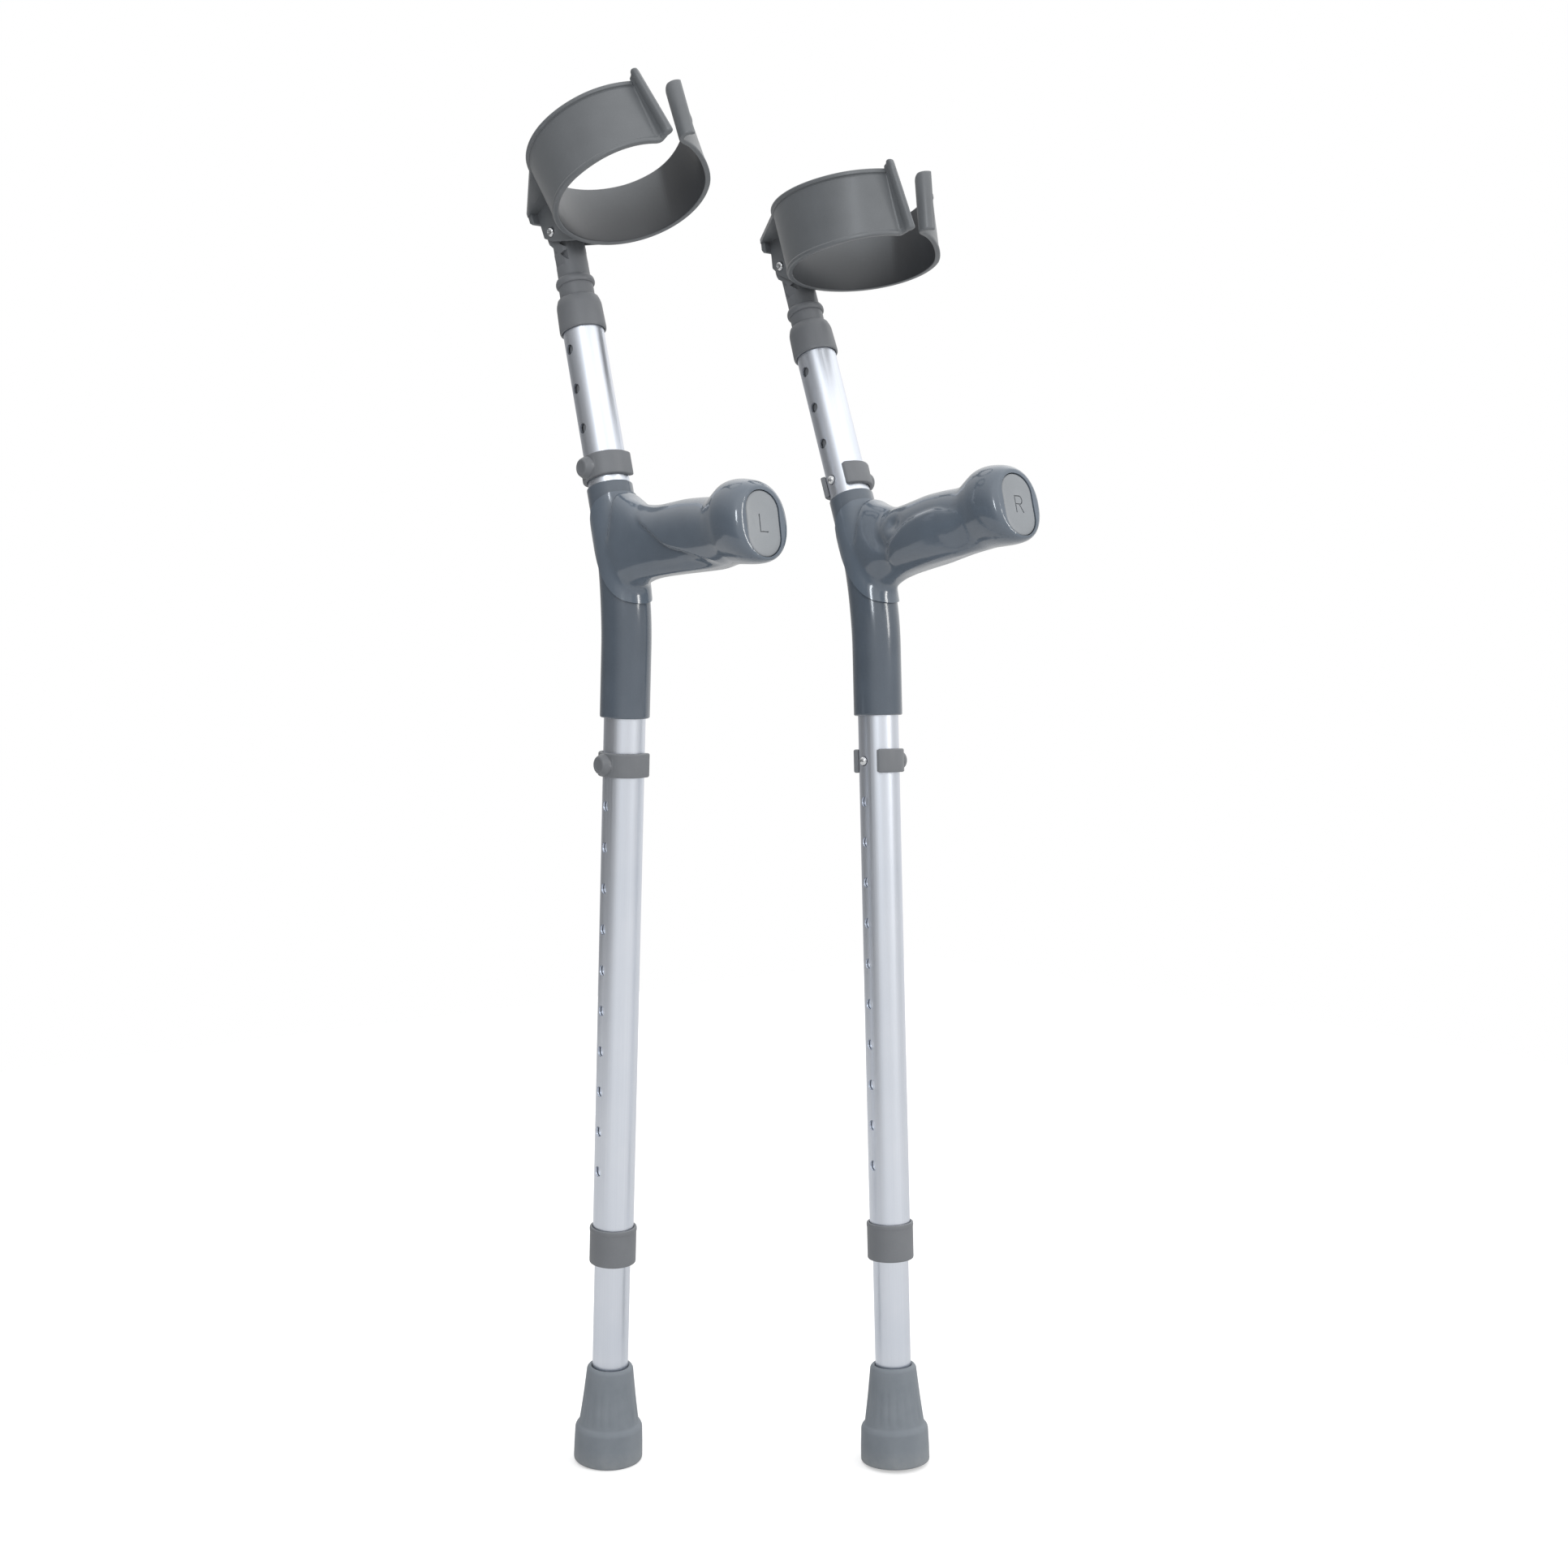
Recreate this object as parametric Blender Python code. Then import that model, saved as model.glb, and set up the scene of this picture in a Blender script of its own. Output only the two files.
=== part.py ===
"""A pair of forearm crutches: telescopic legs, anatomical grips and hinged closed cuffs.

Each crutch is built in its own frame: the origin is the middle of the tip's base, +Z runs up
the leg and the handle points to -Y. The forearm frame starts where the tube bends back.
"""

import math

import bmesh
import bpy
from mathutils import Matrix, Vector

MM = 0.001
CLEARANCE = 0.3 * MM          # between touching pieces
ROUND = 24                    # sides of a large round piece
SMALL_ROUND = 12              # sides of a pin or a rivet
SMOOTH_ANGLE = math.radians(38)

# Leg and main tube
MAIN_TUBE_R = 12.5 * MM
MAIN_TUBE_WALL = 1.15 * MM
MAIN_TUBE_BOTTOM = 130 * MM
LEG_TUBE_R = 11 * MM
LEG_TUBE_WALL = 1.2 * MM
LEG_TUBE_TOP = 447 * MM
BEND_Z = 537 * MM
BEND_TILT = math.radians(18.6)
BEND_RADIUS = 200 * MM
FOREARM_TUBE_TOP = 182 * MM   # heights above the bend are measured along the forearm axis

# Adjusting holes and the clips that lock them
HOLE_R = 3.1 * MM
HOLE_PITCH = 25 * MM
LEG_HOLE_LOWEST = 185 * MM
LEG_HOLE_COUNT = 11
FOREARM_HOLE_LOWEST = 78 * MM
FOREARM_HOLE_COUNT = 4
LEG_CLIP_Z = LEG_HOLE_LOWEST + (LEG_HOLE_COUNT - 1) * HOLE_PITCH
PIN_R = 2.7 * MM
NOTCH_WIDTH = 6.6 * MM
CLIP_HEIGHT = 14.6 * MM
CLIP_INNER_R = 12.9 * MM
CLIP_OUTER_R = 15.4 * MM
CLIP_HALF_MOUTH = math.radians(44)
BOSS_FACE_X = 18.8 * MM
BOSS_FACE_R = 5.2 * MM
BOSS_ROOT_R = 6.9 * MM

# Tip
FERRULE_HEIGHT = 60 * MM
FERRULE_BASE_R = 21.3 * MM
FERRULE_TREAD_R = 19.8 * MM
FERRULE_FLOOR = 9 * MM
WASHER_THICK = 1.5 * MM

# Grip
SLEEVE_BOTTOM = 463 * MM
SLEEVE_R = 15 * MM
GRIP_RIM_R = 13.9 * MM
GRIP_RIM = 67 * MM            # along the forearm axis
COVER_PROUD = 1.4 * MM
HANDLE_END = 127.5 * MM
HANDLE_END_Z = 579.4 * MM
HANDLE_END_TILT = math.radians(12)
CAP_HALF_WIDTH = 11.5 * MM
CAP_HALF_HEIGHT = 18.5 * MM
CAP_THICK = 3.8 * MM
SPINE_END = 117 * MM
SPINE_HALF_WIDTH = 8.5 * MM
SPINE_HALF_HEIGHT = 12.5 * MM
GRIP_PIN_S = 30 * MM
GRIP_PIN_R = 2.2 * MM

# Stem and cuff, heights along the forearm axis and then from the pivot
COLLAR_R = 14.3 * MM
STEM_R = 10.6 * MM
STEM_BOTTOM = 66 * MM
BEAD_S = 197 * MM
STEM_HEAD_R = 8.7 * MM
STEM_HALF_WIDTH = 8.5 * MM
PIVOT_S = 229 * MM
RIVET_R = 2.5 * MM
CHEEK_INNER_X = 8.9 * MM
CHEEK_OUTER_X = 11.3 * MM
CUFF_CENTRE = 68 * MM         # forward of the pivot
CUFF_INNER_R = 44.6 * MM
CUFF_WALL = 3 * MM
CUFF_CONE = 0.8 * MM           # how much wider the band is at its top than at its middle
CUFF_BACK_SWELL = (1.0 * MM, 5.4 * MM)     # how far the back wall stands out, bottom and top
CUFF_FAR_TUCK = 2.4 * MM       # how far the top edge draws in behind the far lip
NEAR_EDGE_RISE = 2.6 * MM      # of the bottom edge towards the near lip
FAR_TOP_DIP = 4 * MM           # of the top edge towards the far lip
CUFF_TOP = 21.4 * MM
CUFF_BOTTOM = -21.1 * MM
CUFF_NEAR_END = math.radians(-17)
CUFF_FAR_END = math.radians(12)
CUFF_TWIST = math.radians(6.5)       # the near lip leans across the mouth
NEAR_LIP_REACH = (3 * MM, 5 * MM, 6.8 * MM, 8 * MM)
NEAR_ROD = ((-0.6 * MM, 0.9 * MM), (0.9 * MM, 0.2 * MM), (0.9 * MM, 0.2 * MM), (0.0, 0.0))
ROD_ABOVE_RIM = 3 * MM
FAR_LIP_REACH = (2.5 * MM,)
FAR_LIP_LIFT = 6 * MM

# The two crutches as a displayed pair: tip position, lean, turn and how far each cuff is tipped
CRUTCHES = (
    dict(name="left", hand=1, x=-0.0731, y=0.0807, lean_y=-0.0524, lean_x=-0.0021,
         turn=math.radians(0.8), cuff_tip=math.radians(10.6)),
    dict(name="right", hand=-1, x=0.0641, y=-0.0347, lean_y=0.0558, lean_x=0.0142,
         turn=math.radians(-0.8), cuff_tip=math.radians(-11.7)),
)


# ---------------------------------------------------------------- helpers

def material(name, colour, roughness, metallic=0.0):
    """A Principled material of one colour."""
    found = bpy.data.materials.get(name)
    if found:
        return found
    made = bpy.data.materials.new(name)
    made.use_nodes = True
    shader = made.node_tree.nodes["Principled BSDF"]
    shader.inputs["Base Color"].default_value = (*colour, 1.0)
    shader.inputs["Roughness"].default_value = roughness
    shader.inputs["Metallic"].default_value = metallic
    made.diffuse_color = (*colour, 1.0)
    return made


def raw_object(bm, name="raw"):
    """Turn a closed bmesh into an object with its faces pointing out."""
    bmesh.ops.recalc_face_normals(bm, faces=bm.faces)
    mesh = bpy.data.meshes.new(name)
    bm.to_mesh(mesh)
    bm.free()
    made = bpy.data.objects.new(name, mesh)
    bpy.context.collection.objects.link(made)
    return made


def boolean(target, tool, operation):
    """Cut, join or intersect target with tool, and remove the tool."""
    step = target.modifiers.new("boolean", "BOOLEAN")
    step.operation = operation
    step.solver = "EXACT"
    step.object = tool
    bpy.context.view_layer.update()
    graph = bpy.context.evaluated_depsgraph_get()
    result = bpy.data.meshes.new_from_object(target.evaluated_get(graph))
    target.modifiers.clear()
    old = target.data
    target.data = result
    bpy.data.meshes.remove(old)
    bpy.data.objects.remove(tool)
    return target


def finish(piece, name, frame, surface, hand=1):
    """Name a piece, mirror it for the right hand, shade it and hang it on its frame."""
    mesh = piece.data
    if hand < 0:
        mesh.transform(Matrix.Scale(-1, 4, Vector((1, 0, 0))))
        mesh.flip_normals()
    bm = bmesh.new()
    bm.from_mesh(mesh)
    bmesh.ops.remove_doubles(bm, verts=bm.verts, dist=0.00001)
    bmesh.ops.dissolve_degenerate(bm, edges=bm.edges, dist=0.00001)
    bm.to_mesh(mesh)
    bm.free()
    mesh.shade_smooth()
    mesh.set_sharp_from_angle(angle=SMOOTH_ANGLE)
    mesh.materials.clear()
    mesh.materials.append(surface)
    piece.name = name
    mesh.name = name
    piece.parent = frame
    return piece


def empty(name, parent=None, matrix=Matrix.Identity(4)):
    """A frame that pieces hang on."""
    made = bpy.data.objects.new(name, None)
    made.empty_display_size = 0.03
    bpy.context.collection.objects.link(made)
    made.parent = parent
    made.matrix_local = matrix
    return made


def skin(bm, rings, closed=False):
    """Join rings of equal length with quads, and cap the two ends unless the loft is closed."""
    pairs = list(zip(rings, rings[1:]))
    if closed:
        pairs.append((rings[-1], rings[0]))
    for lower, upper in pairs:
        count = len(lower)
        for i in range(count):
            j = (i + 1) % count
            bm.faces.new((lower[i], lower[j], upper[j], upper[i]))
    if not closed:
        bm.faces.new(list(reversed(rings[0])))
        bm.faces.new(rings[-1])


def loft(sections):
    """A closed solid through rings of points."""
    bm = bmesh.new()
    rings = [[bm.verts.new(p) for p in section] for section in sections]
    skin(bm, rings)
    return raw_object(bm)


def circle(radius, height, count=ROUND):
    """Points round the Z axis."""
    step = 2 * math.pi / count
    return [Vector((radius * math.cos(i * step), radius * math.sin(i * step), height))
            for i in range(count)]


def turned(profile, count=ROUND):
    """A closed (radius, height) outline turned about Z, with a hole along the axis."""
    bm = bmesh.new()
    rings = [[bm.verts.new(p) for p in circle(r, z, count)] for r, z in profile]
    skin(bm, rings, closed=True)
    return raw_object(bm)


def solid_turned(profile, count=ROUND):
    """An open (radius, height) outline turned about Z, with flat ends."""
    return loft([circle(r, z, count) for r, z in profile])


def rounded_corner(centre, radius, start, end, steps):
    """Points of an arc in a (radius, height) outline, angles in degrees."""
    points = []
    for i in range(steps + 1):
        angle = math.radians(start + (end - start) * i / steps)
        points.append((centre[0] + radius * math.cos(angle), centre[1] + radius * math.sin(angle)))
    return points


def rod_along_x(radius, x_from, x_to, height=0.0, count=SMALL_ROUND):
    """A plain round bar along X, used as a cutter."""
    sections = []
    for x in (x_from, x_to):
        sections.append([Vector((x, p.y, p.x + height)) for p in circle(radius, 0, count)])
    return loft(sections)


def prism_along_x(outline, x_from, x_to):
    """A (y, z) outline pushed from one x to another."""
    return loft([[Vector((x, y, z)) for y, z in outline] for x in (x_from, x_to)])


def prism_along_z(outline, z_from, z_to):
    """An (x, y) outline pushed from one height to another."""
    return loft([[Vector((x, y, z)) for x, y in outline] for z in (z_from, z_to)])


def slide_frame():
    """The forearm frame: its Z is the forearm axis, leaning back from the bend."""
    return Matrix.Translation((0, 0, BEND_Z)) @ Matrix.Rotation(-BEND_TILT, 4, "X")


def tube_path(bottom, tops, bend_steps=6):
    """Centre line of the bent tube, as points and directions; tops are measured past the bend."""
    run = BEND_RADIUS * math.tan(BEND_TILT / 2)
    upper = slide_frame()
    path = [(Vector((0, 0, bottom)), 0.0)]
    for i in range(bend_steps + 1):
        angle = BEND_TILT * i / bend_steps
        along = BEND_RADIUS * math.sin(angle)
        back = BEND_RADIUS * (1 - math.cos(angle))
        path.append((Vector((0, back, BEND_Z - run + along)), angle))
    path += [(upper @ Vector((0, 0, top)), BEND_TILT) for top in tops]
    return path


def path_ring(point, angle, radius, count=ROUND):
    """A circle square to the tube's centre line."""
    turn = Matrix.Rotation(-angle, 4, "X")
    return [point + turn @ p for p in circle(radius, 0, count)]


def smooth(x, low, high):
    """Smooth step from 0 at low to 1 at high."""
    t = min(max((x - low) / (high - low), 0.0), 1.0)
    return t * t * (3 - 2 * t)


# ---------------------------------------------------------------- leg

def ferrule():
    """Rubber tip: a wide tread band, a shoulder and a cone that grips the leg tube."""
    bore_r = LEG_TUBE_R + CLEARANCE + 0.05 * MM
    profile = [(2 * MM, 0), (8 * MM, 0), (9 * MM, 1.5 * MM), (11 * MM, 1.5 * MM), (12 * MM, 0)]
    edge = FERRULE_BASE_R - FERRULE_TREAD_R
    profile += rounded_corner((FERRULE_TREAD_R, edge), edge, -90, 0, 2)
    profile += [(20.7 * MM, 20.5 * MM), (20.0 * MM, 22.3 * MM), (18.2 * MM, 25 * MM)]
    profile += [(16.3 * MM, 40 * MM), (14.5 * MM, 56 * MM), (13.7 * MM, 58.8 * MM)]
    profile += [(12.4 * MM, FERRULE_HEIGHT), (bore_r, FERRULE_HEIGHT - 0.8 * MM)]
    profile += [(bore_r, FERRULE_FLOOR), (2 * MM, FERRULE_FLOOR)]
    return turned(profile)


def ferrule_washer():
    """Steel disc that stops the tube's end from cutting through the rubber."""
    bottom = FERRULE_FLOOR + CLEARANCE
    top = bottom + WASHER_THICK
    outer = LEG_TUBE_R
    return turned([(3 * MM, bottom), (outer, bottom), (outer, top), (3 * MM, top)])


def leg_tube():
    """Inner tube, with a notch at its top that takes the locking pin."""
    bottom = FERRULE_FLOOR + WASHER_THICK + 2 * CLEARANCE
    inner = LEG_TUBE_R - LEG_TUBE_WALL
    tube = turned([(inner, bottom), (LEG_TUBE_R, bottom), (LEG_TUBE_R, LEG_TUBE_TOP),
                   (inner, LEG_TUBE_TOP)])
    half = NOTCH_WIDTH / 2
    floor = LEG_CLIP_Z - half
    outline = [(-half, LEG_TUBE_TOP + MM), (-half, LEG_CLIP_Z), (-half * 0.7, LEG_CLIP_Z - half * 0.7),
               (0, floor), (half * 0.7, LEG_CLIP_Z - half * 0.7), (half, LEG_CLIP_Z),
               (half, LEG_TUBE_TOP + MM)]
    return boolean(tube, prism_along_x(outline, -14 * MM, 14 * MM), "DIFFERENCE")


def leg_collar():
    """Anti-rattle collar on the main tube's lower end, closing down onto the leg tube."""
    seat = MAIN_TUBE_R + CLEARANCE + 0.05 * MM
    guide = LEG_TUBE_R + CLEARANCE + 0.05 * MM
    bottom = MAIN_TUBE_BOTTOM - 4.2 * MM
    top = bottom + 23 * MM
    profile = [(guide, bottom)]
    profile += rounded_corner((COLLAR_R - 2.8 * MM, bottom + 2.8 * MM), 2.8 * MM, -80, 0, 3)
    profile += [(COLLAR_R, top - 2.4 * MM), (COLLAR_R + 0.2 * MM, top - 1.2 * MM)]
    profile += [(COLLAR_R - 0.5 * MM, top), (seat, top)]
    profile += [(seat, MAIN_TUBE_BOTTOM - CLEARANCE), (guide, MAIN_TUBE_BOTTOM - CLEARANCE)]
    return turned(profile)


# ---------------------------------------------------------------- main tube and its clips

def main_tube():
    """Bent aluminium tube with a row of adjusting holes above and below the grip."""
    path = tube_path(MAIN_TUBE_BOTTOM, (FOREARM_TUBE_TOP,))
    inner_r = MAIN_TUBE_R - MAIN_TUBE_WALL
    bm = bmesh.new()
    outer = [[bm.verts.new(p) for p in path_ring(at, angle, MAIN_TUBE_R)] for at, angle in path]
    inner = [[bm.verts.new(p) for p in path_ring(at, angle, inner_r)] for at, angle in path]
    skin(bm, outer + inner[::-1], closed=True)
    tube = raw_object(bm)
    upper = slide_frame()
    centres = [Vector((0, 0, LEG_HOLE_LOWEST + i * HOLE_PITCH)) for i in range(LEG_HOLE_COUNT)]
    centres += [upper @ Vector((0, 0, FOREARM_HOLE_LOWEST + i * HOLE_PITCH))
                for i in range(FOREARM_HOLE_COUNT)]
    centres = [(c, HOLE_R) for c in centres]
    centres.append((upper @ Vector((0, 0, GRIP_PIN_S)), GRIP_PIN_R + CLEARANCE))
    drill = bmesh.new()
    for centre, radius in centres:
        rings = []
        for x in (-14 * MM, 14 * MM):
            rings.append([drill.verts.new((x, centre.y + p.y, centre.z + p.x))
                          for p in circle(radius, 0, 10)])
        skin(drill, rings)
    return boolean(tube, raw_object(drill), "DIFFERENCE")


def clip():
    """Open plastic band with a round boss for the pin's head; the mouth faces +X."""
    half = CLIP_HEIGHT / 2
    steps = 20
    sections = []
    for i in range(steps + 1):
        angle = CLIP_HALF_MOUTH + (2 * math.pi - 2 * CLIP_HALF_MOUTH) * i / steps
        end = i in (0, steps)
        flare = 0.6 * MM if i in (0, 1, steps - 1, steps) else 0.0
        outer = CLIP_OUTER_R + flare
        inner = CLIP_INNER_R
        trim = 0.5 * MM
        tall = half - (trim if end else 0.0)
        rows = [(inner, -tall), (outer - trim, -tall), (outer, -tall + trim),
                (outer, tall - trim), (outer - trim, tall), (inner, tall)]
        sections.append([Vector((r * math.cos(angle), r * math.sin(angle), z)) for r, z in rows])
    band = loft(sections)
    boss = loft([[Vector((x, p.y, p.x)) for p in circle(r, 0, 16)]
                 for x, r in ((-13.2 * MM, BOSS_ROOT_R), (-15.2 * MM, BOSS_ROOT_R - 0.5 * MM),
                              (-BOSS_FACE_X + 0.6 * MM, BOSS_FACE_R + 0.1 * MM),
                              (-BOSS_FACE_X, BOSS_FACE_R - 0.5 * MM))])
    band = boolean(band, boss, "UNION")
    bore = rod_along_x(PIN_R + CLEARANCE + 0.1 * MM, -BOSS_FACE_X + 1.5 * MM, -5 * MM)
    band = boolean(band, bore, "DIFFERENCE")
    shaft = solid_turned([(CLIP_INNER_R - 0.02 * MM, -half - MM), (CLIP_INNER_R - 0.02 * MM, half + MM)])
    return boolean(band, shaft, "DIFFERENCE")


def clip_pin():
    """Steel pin through both tubes, with a domed end that shows in the clip's mouth."""
    head_x = -BOSS_FACE_X + 1.9 * MM
    tip_x = MAIN_TUBE_R + 2.3 * MM
    stations = [(head_x, PIN_R - 0.3 * MM), (head_x + 0.4 * MM, PIN_R)]
    for i in range(4):
        angle = math.radians(78) * i / 3
        stations.append((tip_x - 2.2 * MM + 2.2 * MM * math.sin(angle), PIN_R * math.cos(angle)))
    return loft([[Vector((x, p.y, p.x)) for p in circle(r, 0, SMALL_ROUND)] for x, r in stations])


# ---------------------------------------------------------------- grip

def shaft_body(extra, below=0.0, above=0.0):
    """Solid around the tube: the sleeve's outline grown by extra, and longer at its ends."""
    tops = (GRIP_RIM * 0.6, GRIP_RIM, GRIP_RIM + above) if above else (GRIP_RIM * 0.6, GRIP_RIM)
    sections = []
    for at, angle in tube_path(SLEEVE_BOTTOM - below, tops):
        slim = smooth(at.z, BEND_Z - 16 * MM, BEND_Z + 40 * MM)
        radius = SLEEVE_R + (GRIP_RIM_R - SLEEVE_R) * slim
        sections.append(path_ring(at, angle, radius + extra))
    return loft(sections)


def handle_section(d, count=20, grow=0.0):
    """One section of the handle, d forward of the leg's axis: a soft oval that leans back."""
    stations = HANDLE_STATIONS
    k = max(i for i in range(len(stations) - 1) if stations[i][0] <= d + 1e-9)
    low, high = stations[k], stations[k + 1]
    t = (d - low[0]) / (high[0] - low[0])
    top, bottom, half_width, offset = [a + (b - a) * t for a, b in zip(low[1:], high[1:])]
    middle = (top + bottom) / 2
    half_height = (top - bottom) / 2 + grow
    half_width += grow
    lean = math.tan(HANDLE_END_TILT) * smooth(d, 25 * MM, 85 * MM)
    points = []
    for i in range(count):
        angle = 2 * math.pi * i / count
        c, s = math.cos(angle), math.sin(angle)
        x = offset + half_width * math.copysign(abs(c) ** 0.9, c)
        rise = half_height * math.copysign(abs(s) ** 0.9, s)
        points.append(Vector((x, -(d - lean * rise), middle + rise)))
    return points


# forward distance, top, bottom, half width and sideways offset of the handle's sections
HANDLE_STATIONS = [tuple(v * MM for v in row) for row in (
    (-2, 598, 547, 11.0, 0.0),
    (6, 594, 544, 13.0, 0.0),
    (14, 591.6, 545, 14.3, 0.0),
    (22, 590.3, 547.6, 14.8, 0.3),
    (32, 589.9, 550.0, 15.2, 0.8),
    (46, 591.6, 551.6, 15.6, 1.4),
    (60, 593.4, 553.2, 16.2, 1.8),
    (76, 594.4, 554.8, 16.8, 1.6),
    (90, 595.0, 556.2, 17.2, 0.8),
    (99, 599.2, 557.0, 18.8, 0.2),
    (107, 602.8, 556.6, 20.2, 0.0),
    (116, 603.8, 556.8, 20.8, 0.0),
    (123, 602.9, 557.8, 19.8, 0.0),
    (126.4, 601.4, 559.3, 17.2, 0.0),
    (127.5, 600.6, 560.1, 15.2, 0.0),
)]


def handle_body():
    """Outer shape of the handle from the shaft to its bulbous end."""
    return loft([handle_section(row[0]) for row in HANDLE_STATIONS])


def spine(grow, beyond=0.0):
    """The core's beam inside the handle."""
    stations = [0.0, 30 * MM, 60 * MM, 90 * MM, SPINE_END]
    if beyond:
        stations.append(SPINE_END + beyond)
    sections = []
    for d in stations:
        outline = handle_section(min(d, HANDLE_END - MM), count=12)
        middle = sum((p.z for p in outline)) / len(outline)
        centre_x = sum((p.x for p in outline)) / len(outline)
        step = 2 * math.pi / 12
        sections.append([Vector((centre_x + (SPINE_HALF_WIDTH + grow) * math.cos(i * step), -d,
                                 middle + (SPINE_HALF_HEIGHT + grow) * math.sin(i * step)))
                         for i in range(12)])
    return loft(sections)


def grip_core():
    """Moulded sleeve over the tube with the beam that carries the handle."""
    core = shaft_body(0.0)
    core = boolean(core, spine(0.0), "UNION")
    bore = loft([path_ring(at, angle, MAIN_TUBE_R + CLEARANCE + 0.05 * MM)
                 for at, angle in tube_path(SLEEVE_BOTTOM - 5 * MM, (GRIP_RIM + 5 * MM,))])
    core = boolean(core, bore, "DIFFERENCE")
    pin_at = slide_frame() @ Vector((0, 0, GRIP_PIN_S))
    hole = rod_along_x(GRIP_PIN_R + CLEARANCE, -20 * MM, 20 * MM, pin_at.z)
    hole.data.transform(Matrix.Translation((0, pin_at.y, 0)))
    return boolean(core, hole, "DIFFERENCE")


def seam_outline():
    """Side view (y, z) of the front region that the cover wraps."""
    edge = [(-24, 531.5), (-15, 531.5), (-8, 535), (-2, 540), (4, 546), (10, 554), (17, 563),
            (21, 573), (20, 583), (14, 592), (6, 598.5), (-6, 600), (-24, 600)]
    return [(y * MM, z * MM) for y, z in edge]


def grip_cover():
    """Anatomical cover: the handle's outer shape and the saddle that wraps the shaft's front."""
    saddle = shaft_body(COVER_PROUD)
    saddle = boolean(saddle, prism_along_x(seam_outline(), -30 * MM, 30 * MM), "INTERSECT")
    cover = boolean(handle_body(), saddle, "UNION")
    cover = boolean(cover, shaft_body(CLEARANCE, 5 * MM, 8 * MM), "DIFFERENCE")
    cover = boolean(cover, spine(CLEARANCE, 9 * MM), "DIFFERENCE")
    pocket = end_plate(CLEARANCE, -CAP_THICK - 2 * CLEARANCE, 5 * MM)
    return boolean(cover, pocket, "DIFFERENCE")


def end_plate(grow, depth_from, depth_to):
    """Stadium plate square to the handle's end face, from one depth to another along it."""
    half_width = CAP_HALF_WIDTH + grow
    straight = CAP_HALF_HEIGHT - CAP_HALF_WIDTH
    outline = []
    for start, shift in ((0.0, straight), (math.pi, -straight)):
        for i in range(9):
            angle = start + math.pi * i / 8
            outline.append((half_width * math.cos(angle), shift + half_width * math.sin(angle)))
    plate = prism_along_z(outline, depth_from, depth_to)
    turn = Matrix.Rotation(math.radians(90) - HANDLE_END_TILT, 4, "X")
    place = Matrix.Translation((0, -HANDLE_END, HANDLE_END_Z)) @ turn
    plate.data.transform(place)
    return plate


def grip_end_cap():
    """Oval plug that closes the handle's end, with a peg in the beam's cavity."""
    cap = end_plate(0.0, -CAP_THICK, -0.3 * MM)
    turn = Matrix.Translation((0, -HANDLE_END, HANDLE_END_Z - 2 * MM))
    peg = prism_along_z([(-4 * MM, 0), (4 * MM, 0), (4 * MM, 7 * MM), (-4 * MM, 7 * MM)],
                        -5 * MM, 5 * MM)
    peg.data.transform(turn @ Matrix.Translation((0, 2 * MM, 0)))
    return boolean(cap, peg, "UNION")


def grip_pin():
    """Pin that fixes the grip across the tube."""
    at = slide_frame() @ Vector((0, 0, GRIP_PIN_S))
    pin = rod_along_x(GRIP_PIN_R, -13.4 * MM, 13.4 * MM, at.z)
    pin.data.transform(Matrix.Translation((0, at.y, 0)))
    return pin


# ---------------------------------------------------------------- forearm section

def forearm_collar():
    """Collar on the main tube's upper end, closing in onto the stem."""
    seat = MAIN_TUBE_R + CLEARANCE + 0.05 * MM
    guide = STEM_R + CLEARANCE + 0.05 * MM
    bottom = FOREARM_TUBE_TOP - 17 * MM
    top = FOREARM_TUBE_TOP + 4.5 * MM
    step = FOREARM_TUBE_TOP + CLEARANCE
    profile = [(seat, bottom), (COLLAR_R - 0.6 * MM, bottom), (COLLAR_R, bottom + 1.2 * MM)]
    profile += [(COLLAR_R - 0.7 * MM, top - 3.4 * MM), (COLLAR_R - 1.5 * MM, top - 1.4 * MM)]
    profile += [(COLLAR_R - 2.9 * MM, top), (guide, top), (guide, step), (seat, step)]
    return turned(profile)


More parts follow.
